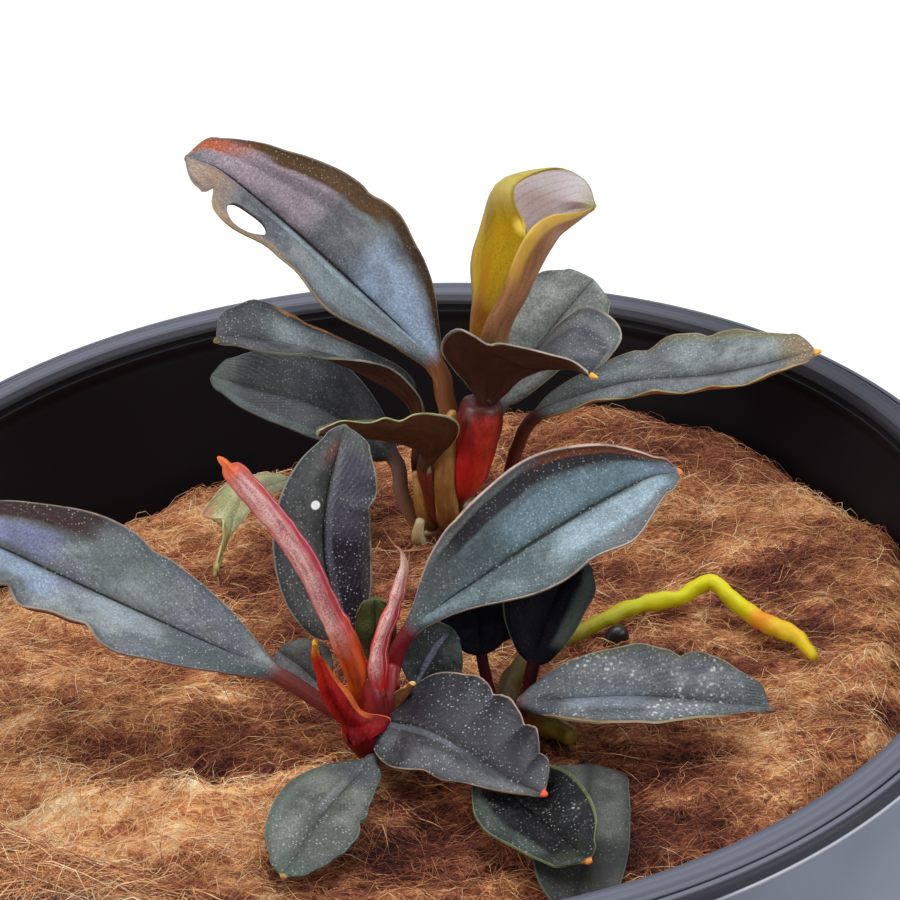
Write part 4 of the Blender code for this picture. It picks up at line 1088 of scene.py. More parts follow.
# The front tuft's young growth: two leaves still rolled up into spears, pink-red with a painted
# white sheen along one side, and the glossy orange-red sheaths that they come out of.
fit(stem("front_leaf_rolled_looks",
         [(-2.7, -13.9, -4.8), (-2.3, -14.1, -2.2), (-2.7, -14.3, 0.0), (-3.3, -14.5, 2.3),
          (-4.2, -14.8, 5.2), (-5.2, -15.3, 8.7), (-6.3, -15.6, 11.2), (-7.3, -16.0, 13.3),
          (-8.8, -16.7, 16.2), (-9.3, -16.9, 16.9), (-9.55, -17.0, 17.5), (-9.95, -17.0, 18.0)],
         (0.6, 0.78, 0.86, 0.88, *[0.88] * 14, *[0.80] * 30, 0.77, 0.64, 0.36, 0.26, 0.12),
         count=160, sides=48, seam=0.20, twist=-0.12, rough=0.09),
    rolled_skin("rolled_leaf_skin",
                ((176, 84, 4), (190, 84, 10), (206, 84, 16), (206, 80, 26), (198, 72, 40),
                 (184, 52, 50), (174, 40, 58), (174, 42, 64), (178, 48, 68), (178, 50, 68),
                 (178, 50, 66), (178, 54, 62), (180, 58, 58), (182, 62, 54), (232, 108, 16)),
                sheen_colour=(252, 214, 206), sheen_place=0.36, dark_streak_and_seam_shade=(128, 8, 36), sheen_from=0.20),
    "front_leaf_rolled")
fit(stem("front_leaf_spear_looks",
         [(-1.5, -14.3, -5.2), (-1.3, -14.3, -3.0), (-1.0, -14.4, -0.5), (-0.7, -14.5, 1.3),
          (-0.1, -14.7, 3.0), (0.5, -14.9, 4.7), (1.0, -15.1, 6.4), (1.35, -15.4, 8.1),
          (1.2, -15.5, 9.2), (0.8, -15.6, 9.7)],
         (0.5, 0.72, 0.78, 0.76, 0.68, 0.60, 0.54, 0.50, 0.47, 0.44, 0.38, 0.28, 0.16, 0.07),
         count=110, sides=40, seam=0.36, twist=0.05, rough=0.12),
    rolled_skin("spear_skin",
                ((196, 40, 12), (196, 26, 14), (202, 12, 26), (204, 2, 36), (202, 10, 46),
                 (206, 44, 62), (206, 100, 94), (210, 158, 136), (200, 150, 130)),
                sheen_colour=(255, 236, 230), sheen_place=0.42, dark_streak_and_seam_shade=(160, 0, 30), sheen_from=0.18),
    "front_leaf_spear")
fit(leaf("front_sheath_looks",
         [(-1.9, -15.4, -6.9), (-2.1, -15.8, -6.2), (-2.6, -16.2, -5.0), (-3.3, -16.5, -3.4),
          (-3.9, -16.7, -1.9), (-4.4, -16.7, -0.5), (-4.7, -16.6, 0.9), (-4.9, -16.5, 2.0),
          (-5.0, -16.4, 2.9)], 2,
         faces=((0.35, 0.9, 0.3), (0.4, 0.9, 0.1)), stalk=1.0, bow=0.16,
         margins=([(-3.1, -14.5, -5.6), (-4.0, -14.9, -4.2), (-4.6, -15.3, -2.9),
                   (-4.95, -15.7, -1.4), (-5.1, -16.0, 0.3), (-5.2, -16.2, 1.7), (-5.05, -16.4, 2.8)],
                  [(-0.9, -15.4, -5.0), (-0.5, -15.3, -4.4), (-1.1, -15.6, -4.0), (-1.8, -15.8, -3.7),
                   (-2.4, -15.9, -3.2), (-2.8, -15.9, -2.3), (-3.2, -15.9, -1.5), (-3.7, -15.9, -0.7),
                   (-4.1, -16.0, 0.3), (-4.4, -16.1, 1.1), (-4.8, -16.3, 2.0), (-4.9, -16.4, 2.8)]),
         edge=0.24, core=0.4, point=0.3, seed=9, wave=0.2),
    leaf_skin("sheath_skin", ((138, 4, 8), (98, 0, 6), (114, 2, 8)), under=((112, 4, 6), (130, 8, 8)),
              marks=((0.90, 0.18, 0.22, 0.80, (228, 112, 48), 0.9),
                     (0.0, 1.2, 0.60, 1.1, (176, 34, 12), 0.7),
                     (0.0, 1.2, 0.90, 1.1, (206, 122, 30), 1.0)),
              rim=(226, 110, 56), rim_width=1.2, specks=0.0, stalk=((84, 4, 10), (90, 2, 6)),
              tip=(224, 160, 50), roughness=0.5, specular=0.15, midrib=0.1, mottle=0.3),
    "front_sheath")
fit(leaf("front_sheath_small_looks",
         [(-1.4, -14.4, -6.3), (-0.9, -14.4, -5.2), (0.0, -14.3, -4.2), (0.9, -14.2, -3.0),
          (1.3, -14.2, -2.4)], 1,
         (1.0, 1.3, 1.2, 0.9, 0.6, 0.35), (1.0, 1.2, 1.1, 0.8, 0.5, 0.3),
         ((-0.4, 0.9, 0.3), (-0.4, 0.9, 0.3)), ((20, 10), (20, 10)), ((50, 20), (50, 20)), stalk=0.6,
         edge=0.15, core=0.3, point=0.2, seed=10),
    leaf_skin("small_sheath_skin", ((120, 80, 50), (84, 56, 40), (104, 70, 48)),
              under=((110, 40, 26), (104, 62, 38)), rim=(200, 140, 80), specks=0.0,
              tip=(240, 190, 110), midrib=0.2, roughness=0.35, mottle=0.2),
    "front_sheath_small")
# The crown's sheaths are dark red, partly their own colour and partly painted shade.
crown_skin = rolled_skin("crown_skin",
                         ((64, 4, 10), (76, 0, 8), (96, 2, 8), (120, 6, 10), (138, 18, 16)),
                         sheen_colour=(176, 36, 30), sheen_place=0.4, dark_streak_and_seam_shade=(76, 0, 6), gloss=0.05)
for name, path, radii in (
        ("crown_sheath_middle", [(-2.0, -14.2, -7.2), (-1.9, -14.5, -5.8), (-1.7, -14.6, -4.2),
                                 (-1.6, -14.4, -2.6), (-1.7, -14.2, -1.4)],
         (0.9, 1.3, 1.3, 1.05, 0.7)),
        ("crown_sheath_right", [(-1.4, -13.9, -7.0), (-1.2, -14.2, -5.6), (-0.8, -14.0, -4.2),
                                (-0.4, -13.5, -2.8), (0.1, -12.8, -1.6)],
         (0.8, 1.1, 1.05, 0.8, 0.45))):
    sheath = stem(name, path, radii, count=50, sides=40, seam=0.18, twist=0.1, rough=0.08)
    sheath.data.materials.append(crown_skin)
    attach(sheath, "root")


# The back tuft's stem: a tan creeping stem rooted in the coir, with a pale cut stub, a thick
# blood-red sheath that holds the young leaves, and two golden lengths of stem beside it.
fit(stem("back_stem_looks",
         [(1.4, 15.4, -11.5), (3.0, 15.8, -9.0), (5.0, 16.2, -7.8), (7.2, 16.6, -7.6),
          (9.0, 17.2, -9.0)], (1.1, 1.3, 1.4, 1.3, 1.0)),
    rolled_skin("tan_stem", ((120, 90, 55), (110, 72, 40), (100, 50, 30)), sheen_colour=(150, 120, 80),
                dark_streak_and_seam_shade=(60, 35, 25)),
    "back_stem")
fit(stem("back_stub_looks", [(2.4, 15.2, -9.6), (1.9, 13.6, -7.6), (2.2, 13.2, -5.8)],
         (0.5, 0.55, 0.35)),
    rolled_skin("stub_skin", ((110, 84, 50), (140, 118, 70), (206, 186, 140)), sheen_colour=(226, 206, 160),
                dark_streak_and_seam_shade=(90, 66, 40)),
    "back_stub")
fit(stem("back_sheath_looks",
         [(4.9, 14.5, -6.2), (5.3, 14.2, -4.6), (6.1, 13.8, -2.6), (6.8, 13.7, -0.2),
          (7.2, 13.6, 2.0), (7.6, 13.7, 4.4)],
         (0.5, 0.7, 1.2, 1.42, 1.5, 1.65, 1.75, 1.5), seam=0.12, twist=0.1, rough=0.06),
    # The red sheath darkens to its foot as painted shade.
    rolled_skin("red_sheath", ((40, 14, 10), (96, 34, 12), (160, 14, 14), (166, 6, 14), (140, 6, 12),
                               (110, 10, 12), (56, 14, 12)),
                sheen_colour=(206, 60, 40), sheen_place=0.85, dark_streak_and_seam_shade=(84, 2, 6), gloss=0.05),
    "back_sheath")
column_skin = rolled_skin("golden_column",
                          ((96, 54, 18), (120, 76, 30), (138, 94, 44), (170, 122, 60)),
                          sheen_colour=(196, 152, 84), sheen_place=0.6, dark_streak_and_seam_shade=(64, 30, 16), gloss=0.08)
for name, path, radii in (
        ("back_column_front", [(4.5, 15.0, -8.0), (4.3, 13.9, -5.4), (4.3, 13.7, -2.2),
                               (4.8, 13.9, 0.8), (5.3, 14.3, 3.2)],
         (0.8, 1.05, 1.15, 0.85, 0.45)),
        ("back_column_left", [(3.4, 15.6, -8.4), (2.6, 14.8, -6.4), (2.3, 14.7, -4.2),
                              (2.0, 14.9, -2.4)],
         (0.6, 0.7, 0.6, 0.3))):
    column = stem(name, path, radii, count=40, sides=32, seam=0.15, twist=0.15, rough=0.08)
    column.data.materials.append(column_skin)
    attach(column, "root")


# The back tuft's leaves: tall blades that face the front in blue-grey with painted bluish
# reflections, others that show their red-brown undersides, and one young leaf rolled into a
# yellow-green funnel, painted light inside.
fit(leaf("back_leaf_high_looks",
         [(4.7, 16.5, -7.4), (4.4, 16.1, -5.0), (4.5, 15.8, -2.0), (5.0, 16.0, 1.2),
          (4.7, 16.2, 3.6), (4.0, 16.5, 6.4), (-1.5, 17.1, 12.9), (-7.5, 17.6, 19.5),
          (-11.0, 18.1, 22.8), (-13.5, 18.5, 23.9)], 5,
         (1.0, 2.3, 3.9, 2.8, 4.2, 3.0), (1.8, 4.6, 6.3, 5.9, 4.1, 2.2),
         ((0, -0.75, 0.66), (-0.1, -0.65, 0.75)), ((34, 34), (10, 10)), stalk=0.75, seed=11,
         point=0.15,
         ripples=((1, 0.30, 0.2, 0.15, 0.04), (1, 0.40, 0.2, -0.1, 0.04), (1, 0.50, -0.2, 0.25, 0.03),
                  (1, 0.62, -0.3, -0.1, 0.05), (1, 0.78, 0.3, 0.15, 0.04),
                  (-1, 0.60, -0.2, -0.35, 0.05), (-1, 0.885, 0.0, 1.5, 0.013),
                  (-1, 0.80, 0.5, -0.1, 0.05)),
         hole=(-0.66, 0.75, 0.25, 0.075)),
    # Painted reflections and highlights: the bluish and violet marks and the light line beside the
    # midrib.
    leaf_skin("back_high_skin", ((107, 111, 113), (81, 84, 88), (97, 100, 107)),
              marks=((0.45, 0.7, 0.58, 0.95, (156, 138, 148), 0.85),
                     (0.30, 0.5, -0.05, 0.38, (158, 178, 204), 0.95),
                     (-0.5, 0.5, 0.02, 0.5, (116, 132, 138), 0.6),
                     (-0.5, 0.6, 0.84, 1.1, (150, 122, 102), 0.9),
                     (0.95, 0.16, 0.05, 0.90, (78, 54, 22), 1.35),
                     (0.84, 0.16, 0.42, 0.80, (88, 60, 28), 1.2),
                     (0.75, 0.32, 0.87, 1.05, (164, 80, 40), 0.95),
                     (0.55, 0.12, 0.45, 0.85, (84, 76, 84), 0.55),
                     (-0.16, 0.10, 0.05, 0.7, (146, 162, 168), 0.7),
                     (-0.95, 0.14, 0.60, 0.9, (176, 146, 112), 0.8)),
              stalk=((112, 70, 30), (142, 88, 54)), rim=(156, 132, 100), midrib=0.85,
              tip=(110, 90, 80)),
    "back_leaf_high")
fit(leaf("back_leaf_twisted_looks",
         [(3.4, 16.4, -8.2), (2.5, 17.5, -6.2), (2.3, 17.6, -3.0), (2.7, 16.8, 1.0),
          (1.3, 15.6, 4.3), (-2.2, 14.5, 7.5), (-6.0, 13.5, 9.9), (-10.4, 12.5, 11.6),
          (-12.1, 12.0, 11.7)], 3,
         (0.9, 1.4, 1.9, 1.7, 1.5, 0.8), (0.8, 1.8, 1.9, 2.0, 3.0, 2.2),
         ((0.8, 0.1, 0.6), (0, 0, 1), (0, -0.35, 0.93), (0, -0.7, 0.7)), ((72, 12), (55, 5)), seed=12,
         point=0.3,
         ripples=((1, 0.58, 0.3, 0.2, 0.03), (1, 0.66, -0.3, -0.1, 0.03), (1, 0.74, 0.3, 0.35, 0.03),
                  (1, 0.88, 0.2, -0.35, 0.05), (-1, 0.6, -0.2, 0.2, 0.05))),
    leaf_skin("back_twisted_skin", ((74, 77, 78), (50, 51, 53), (65, 66, 71)),
              under=((66, 38, 26), (52, 32, 24)), rim=(126, 128, 112),
              marks=((0.3, 0.7, 0.42, 0.78, (136, 146, 148), 0.7),
                     (0.0, 1.3, 0.86, 1.1, (66, 64, 68), 0.85),
                     (0.97, 0.08, 0.48, 0.76, (226, 146, 60), 1.1)),
              stalk=((54, 34, 28), (66, 40, 30)), tip=(120, 90, 40), midrib=0.5),
    "back_leaf_twisted")
fit(leaf("back_leaf_low_left_looks",
         [(2.7, 15.8, -8.3), (1.6, 15.4, -6.8), (0.8, 15.8, -4.8), (0.2, 17.0, -2.0),
          (-5.1, 19.0, 1.6), (-10.4, 21.0, 2.7), (-13.9, 22.0, 3.4)], 3,
         (1.4, 2.2, 3.3, 3.2, 2.4, 1.3), (1.1, 2.6, 3.9, 4.1, 3.2, 1.9),
         ((0, -0.6, 0.8), (0, -0.6, 0.8)), ((22, 22), (8, 8)), seed=13, point=0.0,
         ripples=((1, 0.6, 0.3, 0.0, 0.06), (-1, 0.5, -0.2, 0.1, 0.05))),
    leaf_skin("back_low_left_skin", ((49, 50, 54), (31, 32, 34), (42, 43, 48)), specks=0.4,
              marks=((0.0, 1.2, 0.88, 1.1, (80, 88, 82), 0.8),
                     (-0.9, 0.2, 0.3, 1.0, (80, 90, 90), 0.6)),
              rim=(86, 92, 90), stalk=((130, 88, 56), (80, 60, 56)), tip=(86, 100, 80)),
    "back_leaf_low_left")
fit(leaf("back_leaf_brown_looks",
         [(4.0, 15.8, -7.7), (3.6, 14.2, -6.0), (3.1, 13.4, -3.4), (2.8, 13.2, -1.3),
          (3.0, 12.7, 0.2), (2.3, 12.1, 1.5), (1.1, 11.7, 2.3), (-1.3, 10.8, 3.4),
          (-5.0, 8.9, 5.0)], 3,
         (0.8, 2.0, 3.0, 3.4, 2.6, 1.6), (0.6, 1.2, 1.8, 1.8, 1.4, 0.8),
         ((0.6, 0.3, 0.7), (0, 0.3, 0.9), (0, 0.4, 0.9)), fold=((30, 20), (40, 30)), seed=14,
         point=0.0, bow=0.12,
         margins=([(2.9, 13.1, -1.1), (4.1, 12.6, 0.3), (5.4, 12.2, 1.9), (5.7, 11.9, 3.3),
                   (5.0, 11.7, 4.1), (4.1, 11.5, 4.5), (3.2, 11.3, 4.8), (2.2, 11.1, 4.8),
                   (1.2, 10.9, 4.4), (0.1, 10.6, 4.9), (-1.1, 10.2, 4.8), (-3.0, 9.6, 5.5),
                   (-4.0, 9.2, 5.4), (-5.0, 8.9, 5.1)], None)),
    leaf_skin("back_brown_skin", ((84, 88, 84), (56, 60, 58), (74, 76, 72)), specks=0.3, mottle=0.4,
              under=((62, 34, 20), (60, 34, 20)), rim=(158, 156, 112),
              marks=((-0.9, 0.2, 0.7, 1.1, (150, 160, 120), 0.8),),
              stalk=((96, 24, 18), (92, 34, 24)), tip=(150, 158, 110), midrib=0.4),
    "back_leaf_brown")
fit(leaf("back_leaf_grey_looks",
         [(6.4, 16.9, -7.8), (6.4, 18.2, -5.6), (7.6, 18.6, -2.0), (9.4, 19.0, 1.1),
          (13.1, 21.0, 5.8), (17.1, 23.0, 9.5)], 3,
         (1.2, 2.6, 3.6, 3.9, 3.6, 2.2), (1.0, 1.8, 2.6, 3.2, 3.4, 2.5),
         ((0, -0.7, 0.7), (0, -0.7, 0.7)), ((8, 8), (8, 8)), stalk=0.5, seed=15, point=0.0,
         ripples=((-1, 0.85, 0.2, 0.0, 0.05), (1, 0.7, 0.2, 0.0, 0.06))),
    leaf_skin("back_grey_skin", ((144, 150, 146), (113, 119, 116), (132, 137, 131)), specks=0.5,
              marks=((0.3, 0.3, 0.1, 0.9, (132, 140, 140), 0.4),
                     (0.9, 0.2, 0.3, 1.0, (128, 134, 108), 0.6)),
              rim=(150, 156, 128), stalk=((90, 60, 56), (104, 104, 104)), roughness=0.55, midrib=0.45,
              tip=(110, 118, 90)),
    "back_leaf_grey")
fit(leaf("back_leaf_folded_looks",
         [(7.6, 13.6, 2.9), (7.8, 13.6, 4.1), (9.1, 13.2, 5.1), (10.3, 12.8, 6.5), (11.5, 12.4, 7.3),
          (12.5, 11.9, 7.8), (13.7, 11.4, 8.0), (14.7, 10.6, 8.3), (15.8, 9.4, 8.2)], 1,
         faces=((-0.5, 0.1, 0.8), (-0.2, 0.1, 1), (0, 0.2, 1), (0, 0.2, 1)), seed=16, point=0.7,
         bow=0.10, stalk=0.8,
         margins=([(8.0, 13.9, 4.3), (9.0, 14.6, 5.3), (10.2, 15.0, 6.4), (11.5, 15.3, 7.4),
                   (12.6, 15.4, 8.3), (13.4, 15.4, 9.2), (14.7, 15.3, 10.3), (15.9, 15.1, 11.1),
                   (17.2, 14.6, 10.8), (18.2, 13.8, 10.2), (18.4, 12.9, 9.4), (17.4, 11.3, 8.7),
                   (15.9, 9.5, 8.3)],
                  [(7.5, 13.5, 4.3), (6.6, 13.2, 5.9), (5.3, 12.6, 8.1), (4.6, 12.2, 9.7),
                   (5.0, 11.9, 10.9), (6.0, 11.7, 11.6), (7.1, 11.5, 11.1), (8.2, 11.4, 10.3),
                   (9.1, 11.3, 10.4), (10.6, 11.2, 10.0), (12.6, 10.8, 9.5), (14.5, 10.3, 9.0),
                   (15.8, 9.4, 8.3)])),
    leaf_skin("back_folded_skin", ((67, 68, 71), (43, 44, 52), (57, 58, 68)), specks=0.5, mottle=0.45,
              under=((58, 30, 20), (50, 26, 18)), rim=(160, 150, 134), tip=(232, 170, 60),
              stalk=((110, 16, 16), (70, 28, 22)),
              marks=((-0.9, 0.22, 0.2, 1.0, (110, 114, 116), 0.7),)),
    "back_leaf_folded")
fit(leaf("back_leaf_right_looks",
         [(7.9, 17.0, -7.8), (9.2, 16.6, -5.2), (10.2, 16.2, -1.6), (12.1, 16.0, 1.5),
          (18.6, 15.3, 4.1), (26.0, 14.7, 4.7), (33.4, 14.0, 6.5)], 3,
         (1.1, 1.9, 2.9, 4.0, 3.1, 2.1), (0.8, 1.5, 2.1, 2.0, 1.9, 1.1),
         ((0, -0.45, 0.9), (0, -0.45, 0.9)), ((5, 5), (15, 15)), stalk=0.5, seed=17, point=0.5,
         ripples=((1, 0.22, 0.4, -0.1, 0.035), (1, 0.33, -0.5, 0.30, 0.035),
                  (1, 0.43, 0.7, -0.25, 0.035), (1, 0.53, -0.5, 0.30, 0.03),
                  (1, 0.63, 0.7, -0.3, 0.035), (1, 0.74, -0.5, 0.3, 0.03), (1, 0.84, 0.4, -0.1, 0.04),
                  (-1, 0.5, 0.3, -0.15, 0.05), (-1, 0.42, -0.2, 0.3, 0.03),
                  (-1, 0.64, -0.2, 0.3, 0.03), (-1, 0.75, 0.3, -0.1, 0.04)),
         cuffs=((1, 0.80, 0.10, 1.0, 85),)),
    leaf_skin("back_right_skin", ((102, 110, 110), (73, 78, 77), (90, 96, 98)), specks=0.8,
              marks=((0.0, 1.3, 0.90, 1.1, (124, 98, 56), 0.9),
                     (-0.93, 0.14, 0.4, 1.0, (116, 112, 76), 0.8),
                     (0.4, 0.35, 0.3, 0.9, (104, 104, 114), 0.5),
                     (0.0, 1.3, -0.1, 0.18, (96, 98, 98), 0.7)),
              rim=(150, 134, 92), under=((90, 60, 40), (134, 82, 40)), tip=(244, 170, 50),
              stalk=((96, 30, 22), (84, 40, 34))),
    "back_leaf_right")
fit(leaf("back_leaf_rolled_looks",
         [(7.3, 14.2, 0.8), (7.9, 16.2, 3.2), (8.7, 17.8, 6.4), (9.5, 19.2, 9.6),
          (10.7, 20.1, 12.7), (13.0, 20.6, 15.3), (17.0, 20.0, 17.1)], 1,
         faces=((-0.5, -0.85, 0.2), (-0.5, -0.8, 0.3)), stalk=0.6, seed=18, core=0.4, point=0.15,
         edge=0.2,
         margins=([(7.8, 15.8, 3.4), (7.6, 14.6, 5.6), (7.9, 14.4, 8.5), (8.8, 14.2, 11.2),
                   (10.0, 14.3, 13.4), (11.0, 14.6, 16.0), (11.6, 14.5, 17.7), (11.4, 14.5, 18.9),
                   (10.8, 14.8, 20.3), (10.9, 15.4, 21.2), (11.8, 16.6, 21.35), (13.2, 17.6, 21.4),
                   (14.5, 18.5, 21.1), (15.9, 19.3, 20.2), (16.8, 19.8, 18.9), (17.2, 20.0, 17.3)],
                  [(8.0, 15.6, 3.4), (7.5, 14.1, 5.6), (7.5, 13.8, 8.5), (8.2, 13.4, 11.2),
                   (9.5, 13.5, 13.4), (10.7, 13.8, 16.4), (11.9, 14.1, 18.3), (13.5, 15.6, 18.6),
                   (15.1, 17.4, 17.9), (16.3, 18.8, 17.4), (17.2, 20.0, 17.2)]),
         bulge=((0.4, 1.3, 2.3, 3.6, 2.3, 0.1, 0.0), (0.5, 1.3, 1.6, 2.0, 2.0, 1.0, 0.05))),
    # Painted light: the inside is painted nearly white for the light that shines through the young
    # leaf, and a yellow highlight is painted round the fold point.
    leaf_skin("funnel_skin", ((255, 250, 244), (252, 232, 226), (255, 244, 248)), specks=0.3,
              speck_tone=(255, 250, 246), under=((146, 114, 0), (144, 98, 66)), rim=(206, 176, 96),
              rim_from=0.56,
              marks=((0.9, 0.3, 0.55, 1.0, (206, 166, 104), 0.6),
                     (-0.35, 0.10, 0.86, 1.0, (130, 70, 56), 0.7),
                     (0.0, 1.2, 0.95, 1.1, (196, 188, 120), 0.9)),
              under_marks=((-0.6, 0.06, 0.05, 0.6, (190, 158, 18), 0.6),
                           (-0.75, 0.08, 0.0, 0.45, (164, 108, 0), 0.7),
                           (-0.3, 0.3, 0.0, 0.5, (104, 70, 0), 0.7),
                           (-0.4, 0.8, -0.05, 0.34, (104, 56, 0), 0.9),
                           (0.93, 0.12, 0.50, 0.95, (190, 150, 60), 0.9),
                           (-0.6, 0.7, 0.60, 0.95, (172, 164, 98), 0.7)),
              tip=(176, 170, 100), stalk=((150, 100, 30), (120, 70, 4)), midrib=0.1, roughness=0.5,
              specular=0.12, mottle=0.2, left_rim=(150, 124, 30), fold=(11.3, 14.5, 18.4)),
    "back_leaf_rolled")


# The right tuft: a red creeping stem with a dead end, three low leaves in front and three dark
# ones behind, painted nearly black as shade.
fit(stem("side_stem_looks",
         [(5.0, -11.6, -11.0), (6.2, -12.0, -8.2), (8.4, -12.8, -6.7), (10.6, -13.8, -6.9),
          (12.3, -15.3, -7.2)],
         (1.0, 1.2, 1.3, 1.0, 0.9, 0.55), rough=0.35, count=60),
    rolled_skin("side_stem_skin",
                ((70, 20, 20), (120, 40, 20), (190, 70, 24), (176, 60, 18), (158, 140, 36),
                 (150, 126, 46)),
                sheen_colour=(206, 150, 70), dark_streak_and_seam_shade=(84, 36, 16)),
    "side_stem")
fit(leaf("side_leaf_right_looks",
         [(8.5, -13.0, -6.4), (8.9, -14.2, -5.0), (9.2, -14.5, -4.4), (16.6, -15.5, -3.7),
          (23.2, -16.5, -4.2), (25.5, -17.0, -4.4)], 2,
         (1.2, 2.7, 3.5, 3.4, 3.1, 1.9), (1.0, 2.3, 3.0, 2.6, 1.5, 0.6),
         ((0, -0.5, 0.87), (0, -0.55, 0.85)), ((8, 8), (28, 28)), stalk=0.5, seed=19, point=0.5,
         ripples=((-1, 0.48, 0.3, -0.15, 0.05), (-1, 0.63, -0.3, 0.3, 0.025),
                  (-1, 0.71, 0.35, -0.05, 0.04), (-1, 0.85, -0.2, 0.05, 0.04),
                  (1, 0.56, 0.0, -0.25, 0.05), (1, 0.72, 0.0, 0.1, 0.04)),
         cuffs=((1, 0.9, 0.3, 0.9, 60),)),
    # Painted reflection: the bluish mark on the blade.
    leaf_skin("side_right_skin", ((86, 90, 93), (56, 59, 62), (74, 77, 83)), dust=0.5,
              marks=((0.97, 0.06, 0.1, 1.0, (160, 112, 62), 0.9),
                     (-0.93, 0.12, 0.3, 1.0, (84, 84, 68), 0.8),
                     (0.2, 0.4, 0.2, 0.5, (120, 132, 146), 0.5)),
              rim=(136, 124, 98), under=((70, 46, 30), (132, 82, 40)), midrib=0.5, groove=0.03,
              tip=(110, 84, 70), stalk=((150, 66, 26), (96, 56, 44))),
    "side_leaf_right")
fit(leaf("side_leaf_hanging_looks",
         [(10.6, -13.8, -7.9), (12.2, -15.8, -8.7), (13.0, -17.6, -8.0), (12.8, -20.0, -7.5),
          (12.3, -25.0, -7.5), (11.4, -30.5, -7.8), (10.8, -34.0, -7.8)], 2,
         (2.4, 2.8, 2.9, 2.9, 2.5, 1.9), (2.6, 3.1, 3.4, 3.4, 2.6, 1.2),
         ((0.1, -0.1, 0.98), (0.1, -0.2, 0.97)), ((5, 5), (5, 5)), stalk=0.4, seed=20, point=0.0),
    leaf_skin("side_hanging_skin", ((81, 81, 76), (62, 65, 61), (74, 76, 70)), specks=0.3, mottle=0.4,
              marks=((0.0, 1.5, 0.52, 1.1, (34, 32, 32), 0.8),),
              rim=(84, 86, 78), midrib=0.15, roughness=0.6, specular=0.2,
              stalk=((70, 40, 28), (60, 44, 34)), tip=(60, 60, 54)),
    "side_leaf_hanging")
fit(leaf("side_leaf_round_looks",
         [(7.6, -13.0, -7.4), (6.4, -15.6, -7.0), (5.9, -18.4, -6.8), (7.6, -22.2, -6.6),
          (10.0, -26.2, -6.2), (12.1, -30.0, -6.0)], 2,
         (2.4, 3.1, 3.8, 3.6, 2.6, 1.2), (0.9, 2.2, 3.4, 3.5, 2.9, 2.2),
         ((0, -0.15, 0.98), (0, -0.2, 0.97)), ((14, 14), (8, 8)), stalk=0.5, seed=21, point=0.3),
    leaf_skin("side_round_skin", ((26, 24, 27), (8, 7, 8), (20, 20, 21)), specks=0.5, dust=0.5,
              marks=((0.85, 0.3, 0.15, 0.85, (66, 74, 68), 0.8),
                     (-0.97, 0.05, 0.0, 1.0, (120, 130, 76), 0.8),
                     (0.3, 0.8, 0.90, 1.0, (60, 70, 48), 0.6)),
              rim=(104, 114, 82), tip=(214, 130, 50), roughness=0.36, specular=0.25, midrib=0.9),
    "side_leaf_round")
# Painted shade: the dark leaves behind the right tuft are painted nearly black, with little gloss,
# for the shade they lie in.
shaded_leaf_skin = leaf_skin("shaded_leaf_skin", ((14, 11, 22), (4, 2, 8), (9, 7, 16)), specks=0.02, mottle=0.3,
                       rim=(24, 24, 28), under=((6, 4, 8), (6, 4, 8)),
                       stalk=((86, 16, 24), (34, 10, 16)),
                       tip=(20, 18, 24), specular=0.06, roughness=0.7)
fit(leaf("side_leaf_dark_looks",
         [(9.2, -12.9, -6.3), (9.4, -11.8, -5.0), (9.8, -11.2, -3.4), (11.5, -9.2, 0.5),
          (13.3, -7.4, 3.0)], 2,
         (1.2, 2.4, 3.4, 3.6, 2.7, 1.6), (1.0, 1.7, 2.2, 2.4, 2.4, 1.6),
         ((0, -0.9, 0.4), (0, -0.9, 0.4)), ((12, 12), (12, 12)), stalk=0.45, seed=22, point=0.0),
    # Painted shade and light: nearly black tones for the shade, and a grey-green lit patch near one
    # margin.
    leaf_skin("side_dark_skin", ((12, 10, 18), (4, 2, 8), (8, 7, 14)), specks=0.04, mottle=0.3,
              marks=((0.8, 0.4, 0.2, 1.1, (66, 72, 68), 0.95),), rim=(80, 86, 78),
              under=((6, 4, 8), (6, 4, 8)),
              stalk=((86, 16, 24), (34, 10, 16)), tip=(60, 66, 60), specular=0.08, roughness=0.65),
    "side_leaf_dark")
fit(leaf("side_leaf_dark_low_looks",
         [(7.0, -12.3, -7.0), (6.5, -11.3, -4.8), (6.2, -10.6, -2.8), (6.1, -9.4, -0.6),
          (6.0, -8.0, 1.4)], 2,
         (1.0, 1.9, 2.5, 2.6, 2.2, 1.4), (1.0, 1.9, 2.4, 2.5, 2.0, 1.2),
         ((0, -1, 0.2), (0, -1, 0.2)), ((5, 5), (5, 5)), stalk=0.4, seed=23, point=0.0),
    shaded_leaf_skin, "side_leaf_dark_low")
fit(leaf("side_leaf_dark_back_looks",
         [(6.0, -12.0, -7.6), (4.8, -10.3, -6.2), (4.3, -9.2, -4.4), (4.8, -8.2, -2.8),
          (7.4, -6.9, -1.3), (9.6, -6.2, -0.5)], 3,
         (0.7, 1.6, 2.2, 2.2, 1.6, 0.9), (0.8, 1.8, 2.4, 2.4, 1.8, 0.9),
         ((0, -0.9, 0.4), (0, -0.9, 0.4)), ((5, 5), (5, 5)), stalk=0.4, seed=24, point=0.0),
    shaded_leaf_skin, "side_leaf_dark_back")


